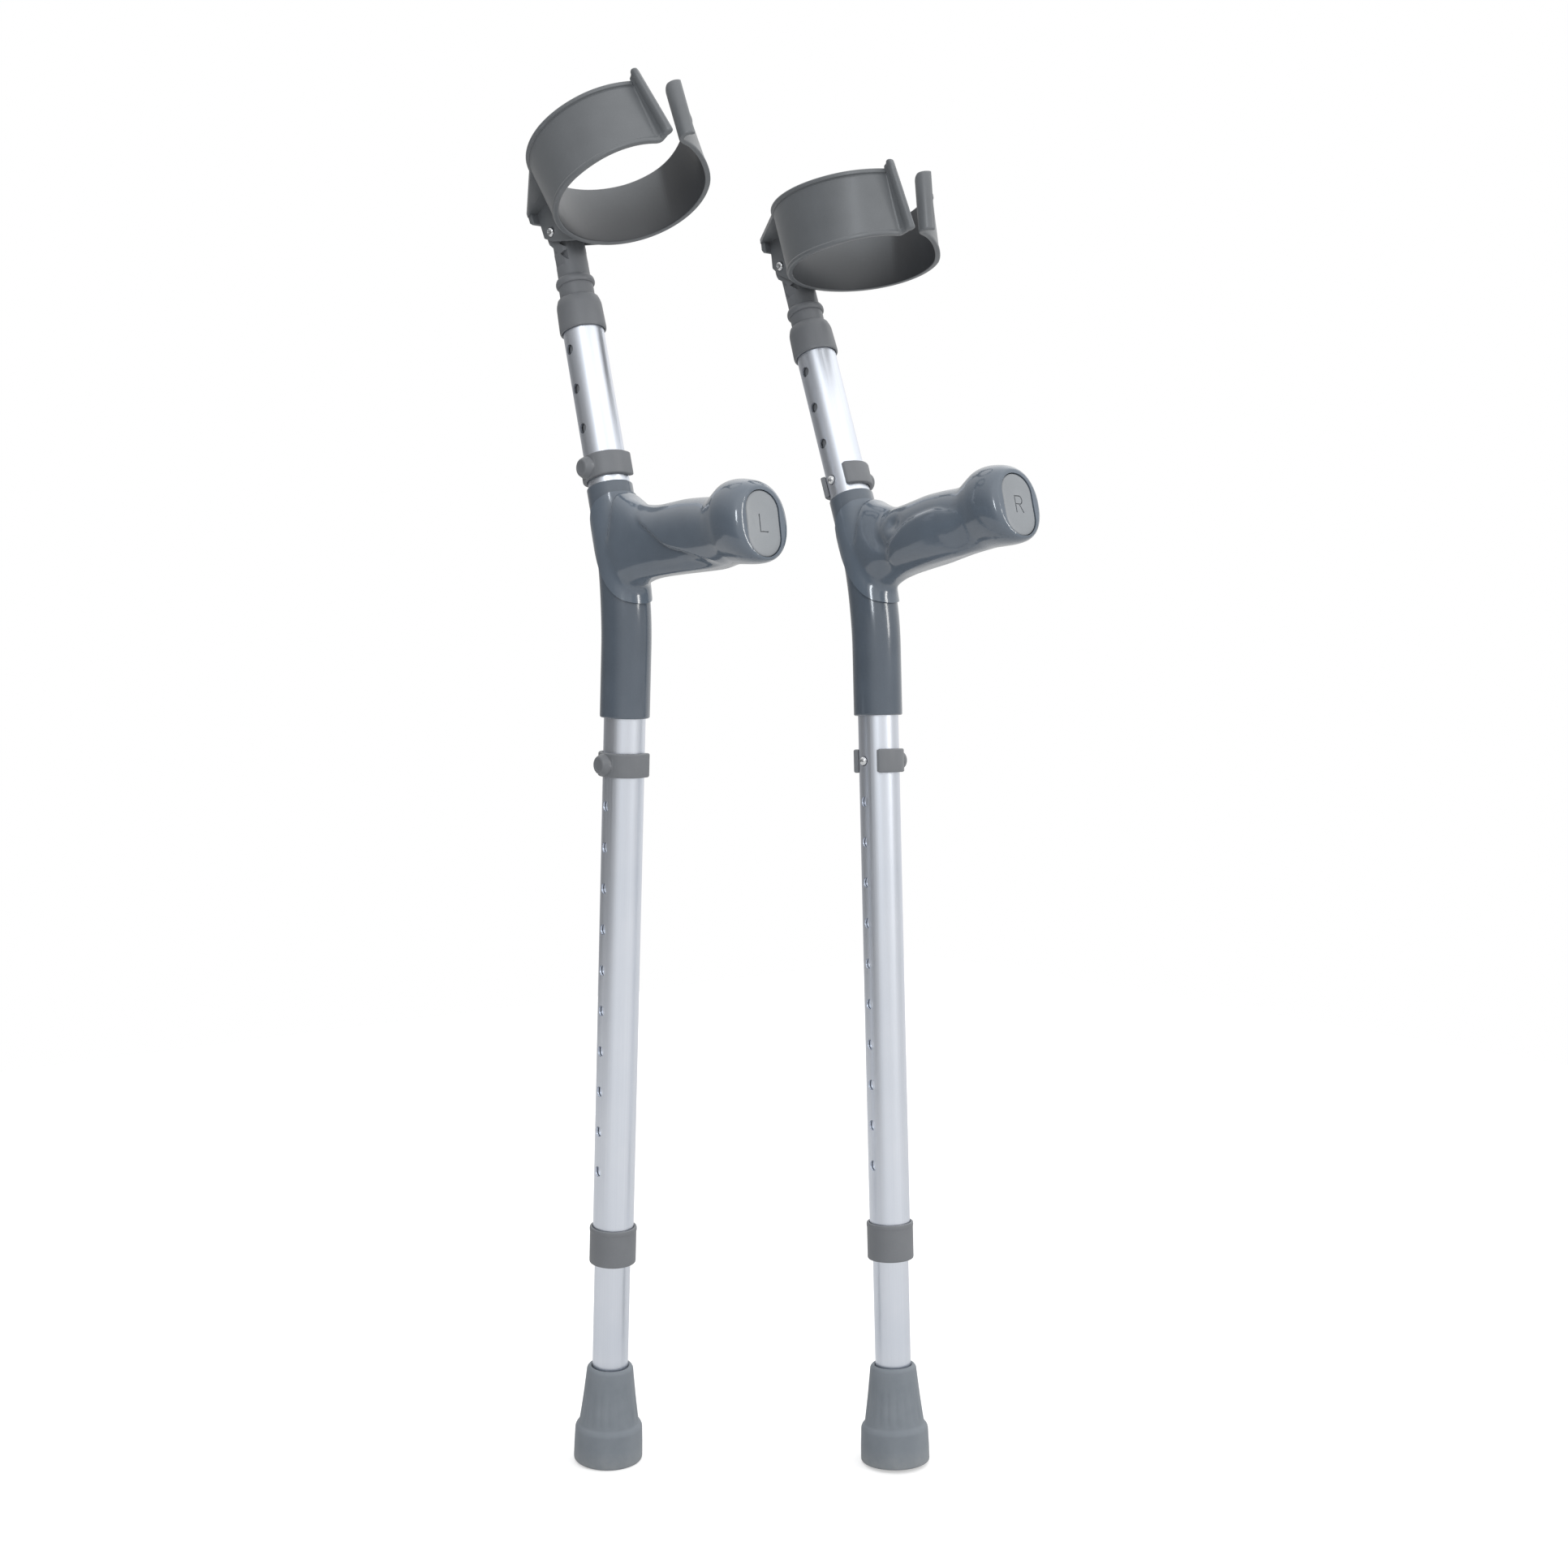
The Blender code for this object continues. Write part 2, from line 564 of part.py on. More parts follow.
def cuff_stem():
    """Moulded stem that slides in the main tube, with a stop bead and a flat head."""
    body = solid_turned([(STEM_R, STEM_BOTTOM), (STEM_R, BEAD_S - 2.3 * MM),
                         (11.4 * MM, BEAD_S - 1.7 * MM), (11.9 * MM, BEAD_S),
                         (11.4 * MM, BEAD_S + 1.7 * MM), (10.0 * MM, BEAD_S + 2.5 * MM),
                         (9.8 * MM, PIVOT_S)])
    head = rod_along_x(STEM_HEAD_R + 0.9 * MM, -STEM_HALF_WIDTH, STEM_HALF_WIDTH, PIVOT_S, 20)
    body = boolean(body, head, "UNION")
    neck = PIVOT_S - 22 * MM
    for side in (-1, 1):
        outline = [(-15 * MM, neck), (15 * MM, neck), (15 * MM, PIVOT_S + 20 * MM),
                   (-15 * MM, PIVOT_S + 20 * MM)]
        slab = prism_along_x(outline, side * STEM_HALF_WIDTH, side * 20 * MM)
        body = boolean(body, slab, "DIFFERENCE")
        for low, high in ((neck + 1 * MM, neck + 7.5 * MM), (neck + 9.5 * MM, neck + 14.5 * MM)):
            pocket = [(1.5 * MM, low), (8 * MM, low - 0.5 * MM), (8 * MM, high + 3 * MM)]
            recess = prism_along_x(pocket, side * (STEM_HALF_WIDTH - 1.6 * MM), side * 12 * MM)
            body = boolean(body, recess, "DIFFERENCE")
    body = boolean(body, rod_along_x(RIVET_R + CLEARANCE, -20 * MM, 20 * MM, PIVOT_S),
                   "DIFFERENCE")
    half = NOTCH_WIDTH / 2
    pin = FOREARM_HOLE_LOWEST
    outline = [(-half, STEM_BOTTOM - MM), (-half, pin), (-half * 0.7, pin + half * 0.7),
               (0, pin + half), (half * 0.7, pin + half * 0.7), (half, pin),
               (half, STEM_BOTTOM - MM)]
    return boolean(body, prism_along_x(outline, -14 * MM, 14 * MM), "DIFFERENCE")


def lip_path(angle, side, bend_r, steps, sweep, straight):
    """Inner face of a lip that curls away from the arm: points and outward directions."""
    start = Vector((math.sin(angle), -math.cos(angle))) * CUFF_INNER_R
    outward = start.normalized()
    along = Vector((-outward.y, outward.x)) * side
    centre = start + outward * (bend_r + CUFF_WALL)
    made = []
    for i in range(1, steps + 1):
        turn = sweep * i / steps
        out = outward * math.cos(turn) - along * math.sin(turn)
        made.append((centre - out * (bend_r + CUFF_WALL), out))
    last, out = made[-1]
    ahead = Vector((-out.y, out.x)) * side
    made += [(last + ahead * distance, out) for distance in straight]
    return made


def band_swell(x, y, z):
    """How far the band stands off its plain circle at a point; the mouth is at -Y."""
    share = (z - CUFF_BOTTOM) / (CUFF_TOP - CUFF_BOTTOM)
    angle = math.degrees(math.atan2(x, -y))
    low, high = CUFF_BACK_SWELL
    back = (low + (high - low) * share) * smooth(abs(angle), 60, 150)
    tuck = CUFF_FAR_TUCK * share * smooth(angle, 18, 42) * (1 - smooth(angle, 75, 120))
    return CUFF_CONE * z / CUFF_TOP + back - tuck


def cuff_sections(band_steps=32, curl_steps=4):
    """Sections of the band from the near lip's rod round the arm to the far lip's roll."""
    near = lip_path(CUFF_NEAR_END, 1, 1.6 * MM, curl_steps, math.radians(70), NEAR_LIP_REACH)
    far = lip_path(CUFF_FAR_END, -1, 2.8 * MM, curl_steps + 1, math.radians(150), FAR_LIP_REACH)
    sweep = 2 * math.pi - (CUFF_FAR_END - CUFF_NEAR_END)
    stations = [(at, out, 1.0 - 0.5 * i / len(near), "near", i)
                for i, (at, out) in enumerate(reversed(near))]
    for i in range(band_steps + 1):
        turn = sweep * i / band_steps
        angle = CUFF_NEAR_END - turn
        outward = Vector((math.sin(angle), -math.cos(angle)))
        twist = 0.5 * (1 - smooth(turn, 0, math.radians(40)))
        stations.append((outward * CUFF_INNER_R, outward, twist, "band", i))
    stations += [(at, out, 0.0, "far", i) for i, (at, out) in enumerate(far)]

    sections = []
    for at, out, twist, part, i in stations:
        inside, wall, rim = 0.0, CUFF_WALL, 0.8 * MM
        top, bottom = CUFF_TOP, CUFF_BOTTOM
        if part == "near":
            swell, inset = NEAR_ROD[min(i, len(NEAR_ROD) - 1)]
            inside, wall, rim = -swell, CUFF_WALL + swell, 0.8 * MM * min(i, 1)
            top += ROD_ABOVE_RIM * (1 - smooth(i, 0, len(near) - 1)) - inset
            bottom += 1.5 * MM * (1 - smooth(i, 0, len(near) - 1)) + inset + NEAR_EDGE_RISE
        elif part == "far":
            rim = 0.0
            top -= 0.6 * MM + FAR_TOP_DIP * (1 - smooth(i, 0, 3))
            bottom = CUFF_BOTTOM + FAR_LIP_LIFT
            if i == len(far) - 1:
                inside, wall = 0.9 * MM, CUFF_WALL - 0.9 * MM
        else:
            rise = smooth(i, band_steps - 5, band_steps)
            top -= FAR_TOP_DIP * smooth(i, band_steps - 6, band_steps - 2)
            bottom += FAR_LIP_LIFT * rise + NEAR_EDGE_RISE * (1 - smooth(i, 0, 6))
            rim *= 1 - rise
        rows = [(inside, bottom), (inside, top), (wall + rim, top), (wall + rim, top - 2.4 * MM),
                (wall, top - 2.9 * MM), (wall, bottom + 2.6 * MM),
                (wall + rim, bottom + 2.1 * MM), (wall + rim, bottom)]
        section = []
        for o, z in rows:
            wider = 1 + band_swell(at.x, at.y, z) / CUFF_INNER_R
            x, y = (at.x + out.x * o) * wider, (at.y + out.y * o) * wider
            turn = CUFF_TWIST * twist * z / CUFF_TOP
            section.append(Vector((x * math.cos(turn) + y * math.sin(turn),
                                   y * math.cos(turn) - x * math.sin(turn) - CUFF_CENTRE, z)))
        sections.append(section)
    return sections


def cuff():
    """Closed cuff: a rimmed band with two curled lips, and the bracket that carries it."""
    band = loft(cuff_sections())

    back_low, back_high = CUFF_BACK_SWELL
    outer = CUFF_INNER_R + CUFF_CONE + back_high + 0.2 * MM
    corner_x, corner_y = 16 * MM, 12.5 * MM
    reach = math.hypot(corner_x, corner_y + CUFF_CENTRE)
    tangent = math.acos(outer / reach) + math.atan2(corner_x, corner_y + CUFF_CENTRE)
    web = [(-corner_x, corner_y), (corner_x, corner_y)]
    steps = 12
    for i in range(steps + 1):
        angle = tangent - 2 * tangent * i / steps
        web.append((outer * math.sin(angle), outer * math.cos(angle) - CUFF_CENTRE))
    flange = prism_along_z(web, CUFF_TOP - 3 * MM, CUFF_TOP - 0.15 * MM)
    band = boolean(band, flange, "UNION")

    lip = prism_along_x([(corner_y - 0.1 * MM, CUFF_TOP - 0.6 * MM), (corner_y - 0.1 * MM, 14 * MM),
                         (corner_y - 2 * MM, 11.5 * MM), (corner_y - 4 * MM, 11.5 * MM),
                         (corner_y - 4 * MM, CUFF_TOP - 0.6 * MM)], -15.8 * MM, 15.8 * MM)
    band = boolean(band, lip, "UNION")
    rear = -(CUFF_CENTRE - CUFF_INNER_R - CUFF_WALL * 0.5)
    rear_top, rear_bottom = rear + CUFF_CONE + back_high, rear - CUFF_CONE + back_low
    cheek = [(corner_y - 1 * MM, CUFF_TOP - 1.2 * MM), (8.8 * MM, 10 * MM), (8.8 * MM, 1.2 * MM),
             (2.4 * MM, -5.2 * MM), (rear_bottom + 1 * MM, CUFF_BOTTOM + 1 * MM),
             (rear_bottom, CUFF_BOTTOM + 3.2 * MM), (rear_top, CUFF_TOP - 1.2 * MM)]
    for side in (-1, 1):
        plate = prism_along_x(cheek, side * CHEEK_INNER_X, side * CHEEK_OUTER_X)
        band = boolean(band, plate, "UNION")
    return boolean(band, rod_along_x(RIVET_R + CLEARANCE, -20 * MM, 20 * MM), "DIFFERENCE")


def cuff_rivet():
    """Steel rivet across the cheeks and the stem's head, domed at both ends."""
    face = CHEEK_OUTER_X + CLEARANCE
    dome = [(0.0, 3.4), (0.7, 3.3), (1.5, 2.5), (2.0, 1.2)]
    stations = [(-face - h * MM, r * MM) for h, r in reversed(dome)]
    stations += [(-face, RIVET_R), (face, RIVET_R)]
    stations += [(face + h * MM, r * MM) for h, r in dome]
    return loft([[Vector((x, p.y, p.x)) for p in circle(r, 0, SMALL_ROUND)] for x, r in stations])


# ---------------------------------------------------------------- assembly

def surfaces():
    """The materials, by the kind of piece."""
    return dict(
        rubber=material("grey_rubber", (0.19, 0.21, 0.23), 0.75),
        steel=material("steel", (0.66, 0.67, 0.68), 0.25, 1.0),
        aluminium=material("satin_aluminium", (0.78, 0.79, 0.81), 0.34, 1.0),
        plastic=material("grey_plastic", (0.17, 0.18, 0.18), 0.5),
        core=material("grip_core_plastic", (0.10, 0.12, 0.14), 0.25),
        cover=material("grip_cover_plastic", (0.14, 0.16, 0.19), 0.16),
        cap=material("grip_cap_plastic", (0.22, 0.24, 0.26), 0.4),
        cuff=material("cuff_plastic", (0.15, 0.17, 0.19), 0.38),
    )


def crutch(spec, finishes):
    """Build one crutch and stand it in its place."""
    name, hand = spec["name"], spec["hand"]
    up = Vector((spec["lean_x"], spec["lean_y"], 1.0)).normalized()
    lift = FERRULE_TREAD_R * math.sqrt(1 - up.z ** 2)
    lean = Vector((0, 0, 1)).rotation_difference(up).to_matrix().to_4x4()
    stand = Matrix.Translation((spec["x"], spec["y"], lift)) @ lean
    stand = stand @ Matrix.Rotation(spec["turn"], 4, "Z")

    leg = empty(name + "_leg_frame", None, stand)
    main = empty(name + "_main_frame", leg)
    leg_lock = empty(name + "_leg_clip_frame", main, Matrix.Translation((0, 0, LEG_CLIP_Z)))
    forearm = empty(name + "_forearm_frame", main, slide_frame())
    lock_at = Matrix.Translation((0, 0, FOREARM_HOLE_LOWEST))
    forearm_lock = empty(name + "_forearm_clip_frame", forearm, lock_at)
    stem = empty(name + "_stem_frame", forearm)
    pivot = Matrix.Translation((0, 0, PIVOT_S)) @ Matrix.Rotation(-spec["cuff_tip"], 4, "X")
    cuff_frame = empty(name + "_cuff_frame", stem, pivot)

    pieces = (
        ("ferrule", ferrule, leg, "rubber"),
        ("ferrule_washer", ferrule_washer, leg, "steel"),
        ("leg_tube", leg_tube, leg, "aluminium"),
        ("leg_collar", leg_collar, main, "plastic"),
        ("main_tube", main_tube, main, "aluminium"),
        ("leg_clip", clip, leg_lock, "plastic"),
        ("leg_clip_pin", clip_pin, leg_lock, "steel"),
        ("grip_core", grip_core, main, "core"),
        ("grip_cover", grip_cover, main, "cover"),
        ("grip_end_cap", grip_end_cap, main, "cap"),
        ("grip_pin", grip_pin, main, "steel"),
        ("forearm_clip", clip, forearm_lock, "plastic"),
        ("forearm_clip_pin", clip_pin, forearm_lock, "steel"),
        ("forearm_collar", forearm_collar, forearm, "plastic"),
        ("cuff_stem", cuff_stem, stem, "plastic"),
        ("cuff", cuff, cuff_frame, "cuff"),
        ("cuff_rivet", cuff_rivet, cuff_frame, "steel"),
    )
    same_on_both = ("cuff", "cuff_rivet", "cuff_stem")
    for piece, make, frame, finish_name in pieces:
        side = 1 if piece in same_on_both else hand
        finish(make(), name + "_" + piece, frame, finishes[finish_name], side)


def main():
    """Clear the scene and build both crutches."""
    for old in list(bpy.data.objects):
        bpy.data.objects.remove(old)
    finishes = surfaces()
    for spec in CRUTCHES:
        crutch(spec, finishes)
    bpy.context.view_layer.update()


main()
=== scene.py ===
"""Looks for a pair of forearm crutches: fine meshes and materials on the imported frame."""

import math

import bmesh
import bpy
import numpy as np
from mathutils import Matrix, Vector

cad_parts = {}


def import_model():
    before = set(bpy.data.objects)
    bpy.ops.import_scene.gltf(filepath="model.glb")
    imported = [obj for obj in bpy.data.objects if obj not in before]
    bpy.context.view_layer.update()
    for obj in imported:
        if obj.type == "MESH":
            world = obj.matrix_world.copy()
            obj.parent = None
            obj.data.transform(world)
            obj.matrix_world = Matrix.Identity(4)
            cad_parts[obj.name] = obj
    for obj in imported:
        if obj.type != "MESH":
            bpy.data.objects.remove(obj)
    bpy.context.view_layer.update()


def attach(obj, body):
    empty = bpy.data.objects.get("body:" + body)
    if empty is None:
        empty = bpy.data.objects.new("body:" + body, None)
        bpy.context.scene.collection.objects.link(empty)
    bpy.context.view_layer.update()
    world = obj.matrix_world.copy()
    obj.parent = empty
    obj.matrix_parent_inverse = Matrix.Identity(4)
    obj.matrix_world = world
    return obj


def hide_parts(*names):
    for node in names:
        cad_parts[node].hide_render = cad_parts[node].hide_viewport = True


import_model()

MM = 0.001
GAP = 0.3 * MM
SLIDE_FIT = 0.35 * MM      # between a tube and the moulded piece that it runs or sits in

# The same driving sizes as the CAD model
MAIN_R, MAIN_WALL, MAIN_BOTTOM = 12.5 * MM, 1.15 * MM, 130 * MM
LEG_R, LEG_WALL, LEG_TOP = 11 * MM, 1.2 * MM, 447 * MM
TREAD_R, TIP_SEAT, WASHER_THICK = 19.8 * MM, 9 * MM, 1.5 * MM
BEND_Z, BEND_TILT, BEND_RADIUS = 537 * MM, math.radians(18.6), 200 * MM
FOREARM_TOP = 182 * MM
HOLE_R, PITCH = 3.1 * MM, 25 * MM
LEG_HOLE, LEG_HOLES = 185 * MM, 11
ARM_HOLE, ARM_HOLES = 78 * MM, 4
LEG_CLIP_Z = LEG_HOLE + (LEG_HOLES - 1) * PITCH
PIN_R, NOTCH = 2.7 * MM, 6.6 * MM
SLEEVE_BOTTOM, SLEEVE_R, RIM_R, RIM_S = 463 * MM, 15 * MM, 13.9 * MM, 67 * MM
COVER_PROUD = 1.4 * MM
HANDLE_END, HANDLE_END_Z, HANDLE_TILT = 127.5 * MM, 579.4 * MM, math.radians(12)
CAP_W, CAP_H, CAP_THICK = 11.5 * MM, 18.5 * MM, 3.8 * MM
SPINE_END, SPINE_WIDE, SPINE_HIGH = 117, 8.5, 12.5      # in millimetres
GRIP_PIN_S, GRIP_PIN_R = 30 * MM, 2.2 * MM
COLLAR_R, STEM_R, STEM_BOTTOM = 14.3 * MM, 10.6 * MM, 66 * MM
BEAD_S, PIVOT_S, RIVET_R = 197 * MM, 229 * MM, 2.5 * MM
CUFF_CENTRE, CUFF_R, CUFF_WALL = 68 * MM, 44.6 * MM, 3 * MM
CUFF_TOP, CUFF_BOTTOM, CUFF_CONE = 21.4 * MM, -21.1 * MM, 0.8 * MM
BACK_SWELL, FAR_TUCK = (1.0 * MM, 5.4 * MM), 2.4 * MM
NEAR_RISE, FAR_DIP = 2.6 * MM, 4 * MM
CHEEK_INNER_X, CHEEK_OUTER_X = 8.9 * MM, 11.3 * MM

CRUTCHES = (
    dict(name="left", hand=1, x=-0.0731, y=0.0807, lean_y=-0.0524, lean_x=-0.0021,
         turn=math.radians(0.8), tip=math.radians(10.6)),
    dict(name="right", hand=-1, x=0.0641, y=-0.0347, lean_y=0.0558, lean_x=0.0142,
         turn=math.radians(-0.8), tip=math.radians(-11.7)),
)


# ------------------------------------------------------------------ mesh helpers

def new_object(verts, faces, name="piece"):
    mesh = bpy.data.meshes.new(name)
    mesh.from_pydata([tuple(v) for v in verts], [], faces)
    mesh.validate()
    bm = bmesh.new()
    bm.from_mesh(mesh)
    bmesh.ops.remove_doubles(bm, verts=bm.verts, dist=2e-6)
    bmesh.ops.recalc_face_normals(bm, faces=bm.faces)
    bm.to_mesh(mesh)
    bm.free()
    made = bpy.data.objects.new(name, mesh)
    bpy.context.scene.collection.objects.link(made)
    return made


def loft(rings, closed=False):
    """Quads through rings of equal length; capped unless it closes on itself."""
    rings = [list(r) for r in rings]
    n = len(rings[0])
    verts = [v for r in rings for v in r]
    faces = []
    count = len(rings)
    for k in range(count if closed else count - 1):
        a, b = k * n, ((k + 1) % count) * n
        for i in range(n):
            j = (i + 1) % n
            faces.append((a + i, a + j, b + j, b + i))
    if not closed:
        faces.append(tuple(reversed(range(n))))
        faces.append(tuple(range((count - 1) * n, count * n)))
    return new_object(verts, faces)


def circle(radius, z=0.0, n=64, wobble=None):
    ring = []
    for i in range(n):
        a = 2 * math.pi * i / n
        r = radius + (wobble(a) if wobble else 0.0)
        ring.append(Vector((r * math.cos(a), r * math.sin(a), z)))
    return ring


def turned(profile, n=72, closed=True, wobble=None):
    """A (radius, height) outline turned about Z."""
    rings = []
    for r, z in profile:
        rings.append(circle(r, z, n, (lambda a, z=z, r=r: wobble(a, r, z)) if wobble else None))
    return loft(rings, closed)


def rounded(points, radius, steps=4):
    """A closed outline with its corners rounded: points are (x, y, share of the radius)."""
    out = []
    n = len(points)
    for i, (x, y, share) in enumerate(points):
        if not share:
            out.append((x, y))
            continue
        p = Vector((x, y))
        a = Vector(points[i - 1][:2])
        b = Vector(points[(i + 1) % n][:2])
        size = min(radius * share, (a - p).length * 0.49, (b - p).length * 0.49)
        start, end = p + (a - p).normalized() * size, p + (b - p).normalized() * size
        for k in range(steps + 1):
            t = k / steps
            q = start * (1 - t) ** 2 + p * 2 * t * (1 - t) + end * t ** 2
            out.append((q.x, q.y))
    return out


def boolean(target, tool, operation):
    """Cut, join or intersect with a tool, which is used up."""
    step = target.modifiers.new("b", "BOOLEAN")
    step.operation, step.solver, step.object = operation, "EXACT", tool
    apply(target)
    bpy.data.objects.remove(tool)
    return target


def apply(target):
    """Make the modifiers' result the object's own mesh."""
    bpy.context.view_layer.update()
    graph = bpy.context.evaluated_depsgraph_get()
    result = bpy.data.meshes.new_from_object(target.evaluated_get(graph))
    target.modifiers.clear()
    old = target.data
    target.data = result
    bpy.data.meshes.remove(old)
    return target


def bevelled(target, width, segments=3, angle=30):
    step = target.modifiers.new("bevel", "BEVEL")
    step.width, step.segments, step.limit_method = width, segments, "ANGLE"
    step.angle_limit = math.radians(angle)
    step.use_clamp_overlap = True
    return apply(target)


def remeshed(target, voxel, rounds):
    step = target.modifiers.new("remesh", "REMESH")
    step.mode, step.voxel_size, step.use_smooth_shade = "VOXEL", voxel, True
    soft = target.modifiers.new("smooth", "SMOOTH")
    soft.factor, soft.iterations = 0.5, rounds
    return apply(target)


def moved(target, matrix):
    target.data.transform(matrix)
    return target


def prism_x(outline, x0, x1):
    return loft([[Vector((x, y, z)) for y, z in outline] for x in (x0, x1)])


def prism_z(outline, z0, z1):
    return loft([[Vector((x, y, z)) for x, y in outline] for z in (z0, z1)])


def rod_x(radius, x0, x1, z=0.0, n=40):
    return loft([[Vector((x, p.y, z + p.x)) for p in circle(radius, 0, n)] for x in (x0, x1)])


def turned_x(stations, n=40):
    """A solid of revolution about X through (x, radius) stations."""
    return loft([[Vector((x, p.y, p.x)) for p in circle(r, 0, n)] for x, r in stations])


def smooth(x, low, high):
    t = min(max((x - low) / (high - low), 0.0), 1.0)
    return t * t * (3 - 2 * t)


def through(table, x):
    """Smooth curve through (x, y) rows."""
    if x <= table[0][0]:
        return table[0][1]
    if x >= table[-1][0]:
        return table[-1][1]
    k = max(i for i in range(len(table) - 1) if table[i][0] <= x)
    (x0, y0), (x1, y1) = table[k], table[k + 1]
    before = table[k - 1] if k else (x0 - (x1 - x0), y0)
    after = table[k + 2] if k + 2 < len(table) else (x1 + (x1 - x0), y1)
    m0 = (y1 - before[1]) / (x1 - before[0]) * (x1 - x0)
    m1 = (after[1] - y0) / (after[0] - x0) * (x1 - x0)
    t = (x - x0) / (x1 - x0)
    return ((2 * t ** 3 - 3 * t ** 2 + 1) * y0 + (t ** 3 - 2 * t ** 2 + t) * m0
            + (3 * t ** 2 - 2 * t ** 3) * y1 + (t ** 3 - t ** 2) * m1)


def slide_frame():
    return Matrix.Translation((0, 0, BEND_Z)) @ Matrix.Rotation(-BEND_TILT, 4, "X")


def tube_path(bottom, tops, steps=20):
    run = BEND_RADIUS * math.tan(BEND_TILT / 2)
    path = [(Vector((0, 0, bottom)), 0.0)]
    for i in range(steps + 1):
        a = BEND_TILT * i / steps
        path.append((Vector((0, BEND_RADIUS * (1 - math.cos(a)),
                             BEND_Z - run + BEND_RADIUS * math.sin(a))), a))
    path += [(slide_frame() @ Vector((0, 0, t)), BEND_TILT) for t in tops]
    return path


def half_turn(steps=14):
    """Angles over half a turn, for round ends."""
    return [math.pi * k / steps for k in range(steps + 1)]


def path_ring(point, angle, radius, n=72):
    turn = Matrix.Rotation(-angle, 4, "X")
    return [point + turn @ p for p in circle(radius, 0, n)]


# ------------------------------------------------------------------ materials

LOCAL = "local"       # the point attribute that holds each piece's own coordinates
# The cuff's inner face is marked so that its colour can be darkened as painted shade.
SHADE_INSIDE = "inner"       # the point attribute that marks the cuff's inner face
SHARP_ANGLE = math.radians(34)


class Nodes:
    """Short way to write a node material in the piece's own coordinates."""

    def __init__(self, name):
        self.mat = bpy.data.materials.new(name)
        self.mat.use_nodes = True
        self.tree = self.mat.node_tree
        self.shader = self.tree.nodes["Principled BSDF"]
        where = self.tree.nodes.new("ShaderNodeAttribute")
        where.attribute_name = LOCAL
        self.coords = where.outputs["Vector"]

    def add(self, kind, inputs=None, **settings):
        node = self.tree.nodes.new(kind)
        for key, value in settings.items():
            setattr(node, key, value)
        for key, value in (inputs or {}).items():
            if hasattr(value, "is_output"):
                self.tree.links.new(value, node.inputs[key])
            else:
                node.inputs[key].default_value = value
        return node

    def stretched(self, scale):
        return self.add("ShaderNodeMapping", {"Vector": self.coords, "Scale": scale}).outputs[0]

    def noise(self, scale, detail=3.0, rough=0.55, vector=None):
        node = self.add("ShaderNodeTexNoise", {"Vector": vector or self.coords, "Scale": scale,
                                               "Detail": detail, "Roughness": rough})
        return node.outputs["Fac"]

    def ramp(self, value, low, high, out_low, out_high):
        node = self.add("ShaderNodeMapRange", {"Value": value, "From Min": low, "From Max": high,
                                               "To Min": out_low, "To Max": out_high})
        return node.outputs[0]

    def mix(self, factor, a, b):
        node = self.add("ShaderNodeMix", data_type="RGBA")
        self.tree.links.new(factor, node.inputs[0])
        for index, colour in ((6, a), (7, b)):
            if hasattr(colour, "is_output"):
                self.tree.links.new(colour, node.inputs[index])
            else:
                node.inputs[index].default_value = (*colour, 1.0)
        return node.outputs[2]

    def bump(self, height, strength, distance, normal=None):
        inputs = {"Height": height, "Strength": strength, "Distance": distance}
        if normal:
            inputs["Normal"] = normal
        return self.add("ShaderNodeBump", inputs).outputs[0]

    def edges(self, strength):
        """Bright where the surface is a convex edge."""
        pointy = self.add("ShaderNodeNewGeometry").outputs["Pointiness"]
        return self.ramp(pointy, 0.52, 0.60, 0.0, strength)

    def set(self, name, value):
        if hasattr(value, "is_output"):
            self.tree.links.new(value, self.shader.inputs[name])
        else:
            self.shader.inputs[name].default_value = value


def moulded(name, colour, worn, rough, coat=0.0, grain=0.00006, scuffs=0.3, inner=None):
    """Moulded plastic: mottled colour, satin or glossy skin with fine orange peel and scuffs, and
    painted shade on an inner face when an inside colour is given.
    """
    n = Nodes(name)
    broad = n.noise(38.0, 4.0)
    fine = n.noise(900.0, 2.0)
    tone = n.mix(n.ramp(broad, 0.3, 0.7, 0.0, 1.0), [c * 0.93 for c in colour],
                 [c * 1.07 for c in colour])
    speck = n.ramp(n.noise(2600.0, 1.0), 0.62, 0.72, 0.0, 0.22)
    tone = n.mix(speck, tone, worn)
    tone = n.mix(n.edges(0.45), tone, worn)
    # painted shade: the marked inner face is darkened towards the inside colour
    if inner:
        face = n.tree.nodes.new("ShaderNodeAttribute")
        face.attribute_name = SHADE_INSIDE
        tone = n.mix(face.outputs["Fac"], tone, inner)
    n.set("Base Color", tone)
    streaks = n.noise(140.0, 5.0, 0.7, n.stretched((1.0, 1.0, 0.25)))
    scuff = n.ramp(streaks, 0.56, 0.72, 0.0, scuffs * 0.25)
    base = n.ramp(broad, 0.25, 0.75, rough * 0.88, rough * 1.12)
    total = n.add("ShaderNodeMath", {0: base, 1: scuff}, operation="ADD").outputs[0]
    n.set("Roughness", total)
    n.set("Specular IOR Level", 0.5)
    if coat:
        n.set("Coat Weight", coat)
        n.set("Coat Roughness", 0.06)
    peel = n.bump(n.noise(420.0, 2.0), 0.25, grain)
    n.set("Normal", n.bump(fine, 0.25, grain * 0.6, peel))
    return n.mat


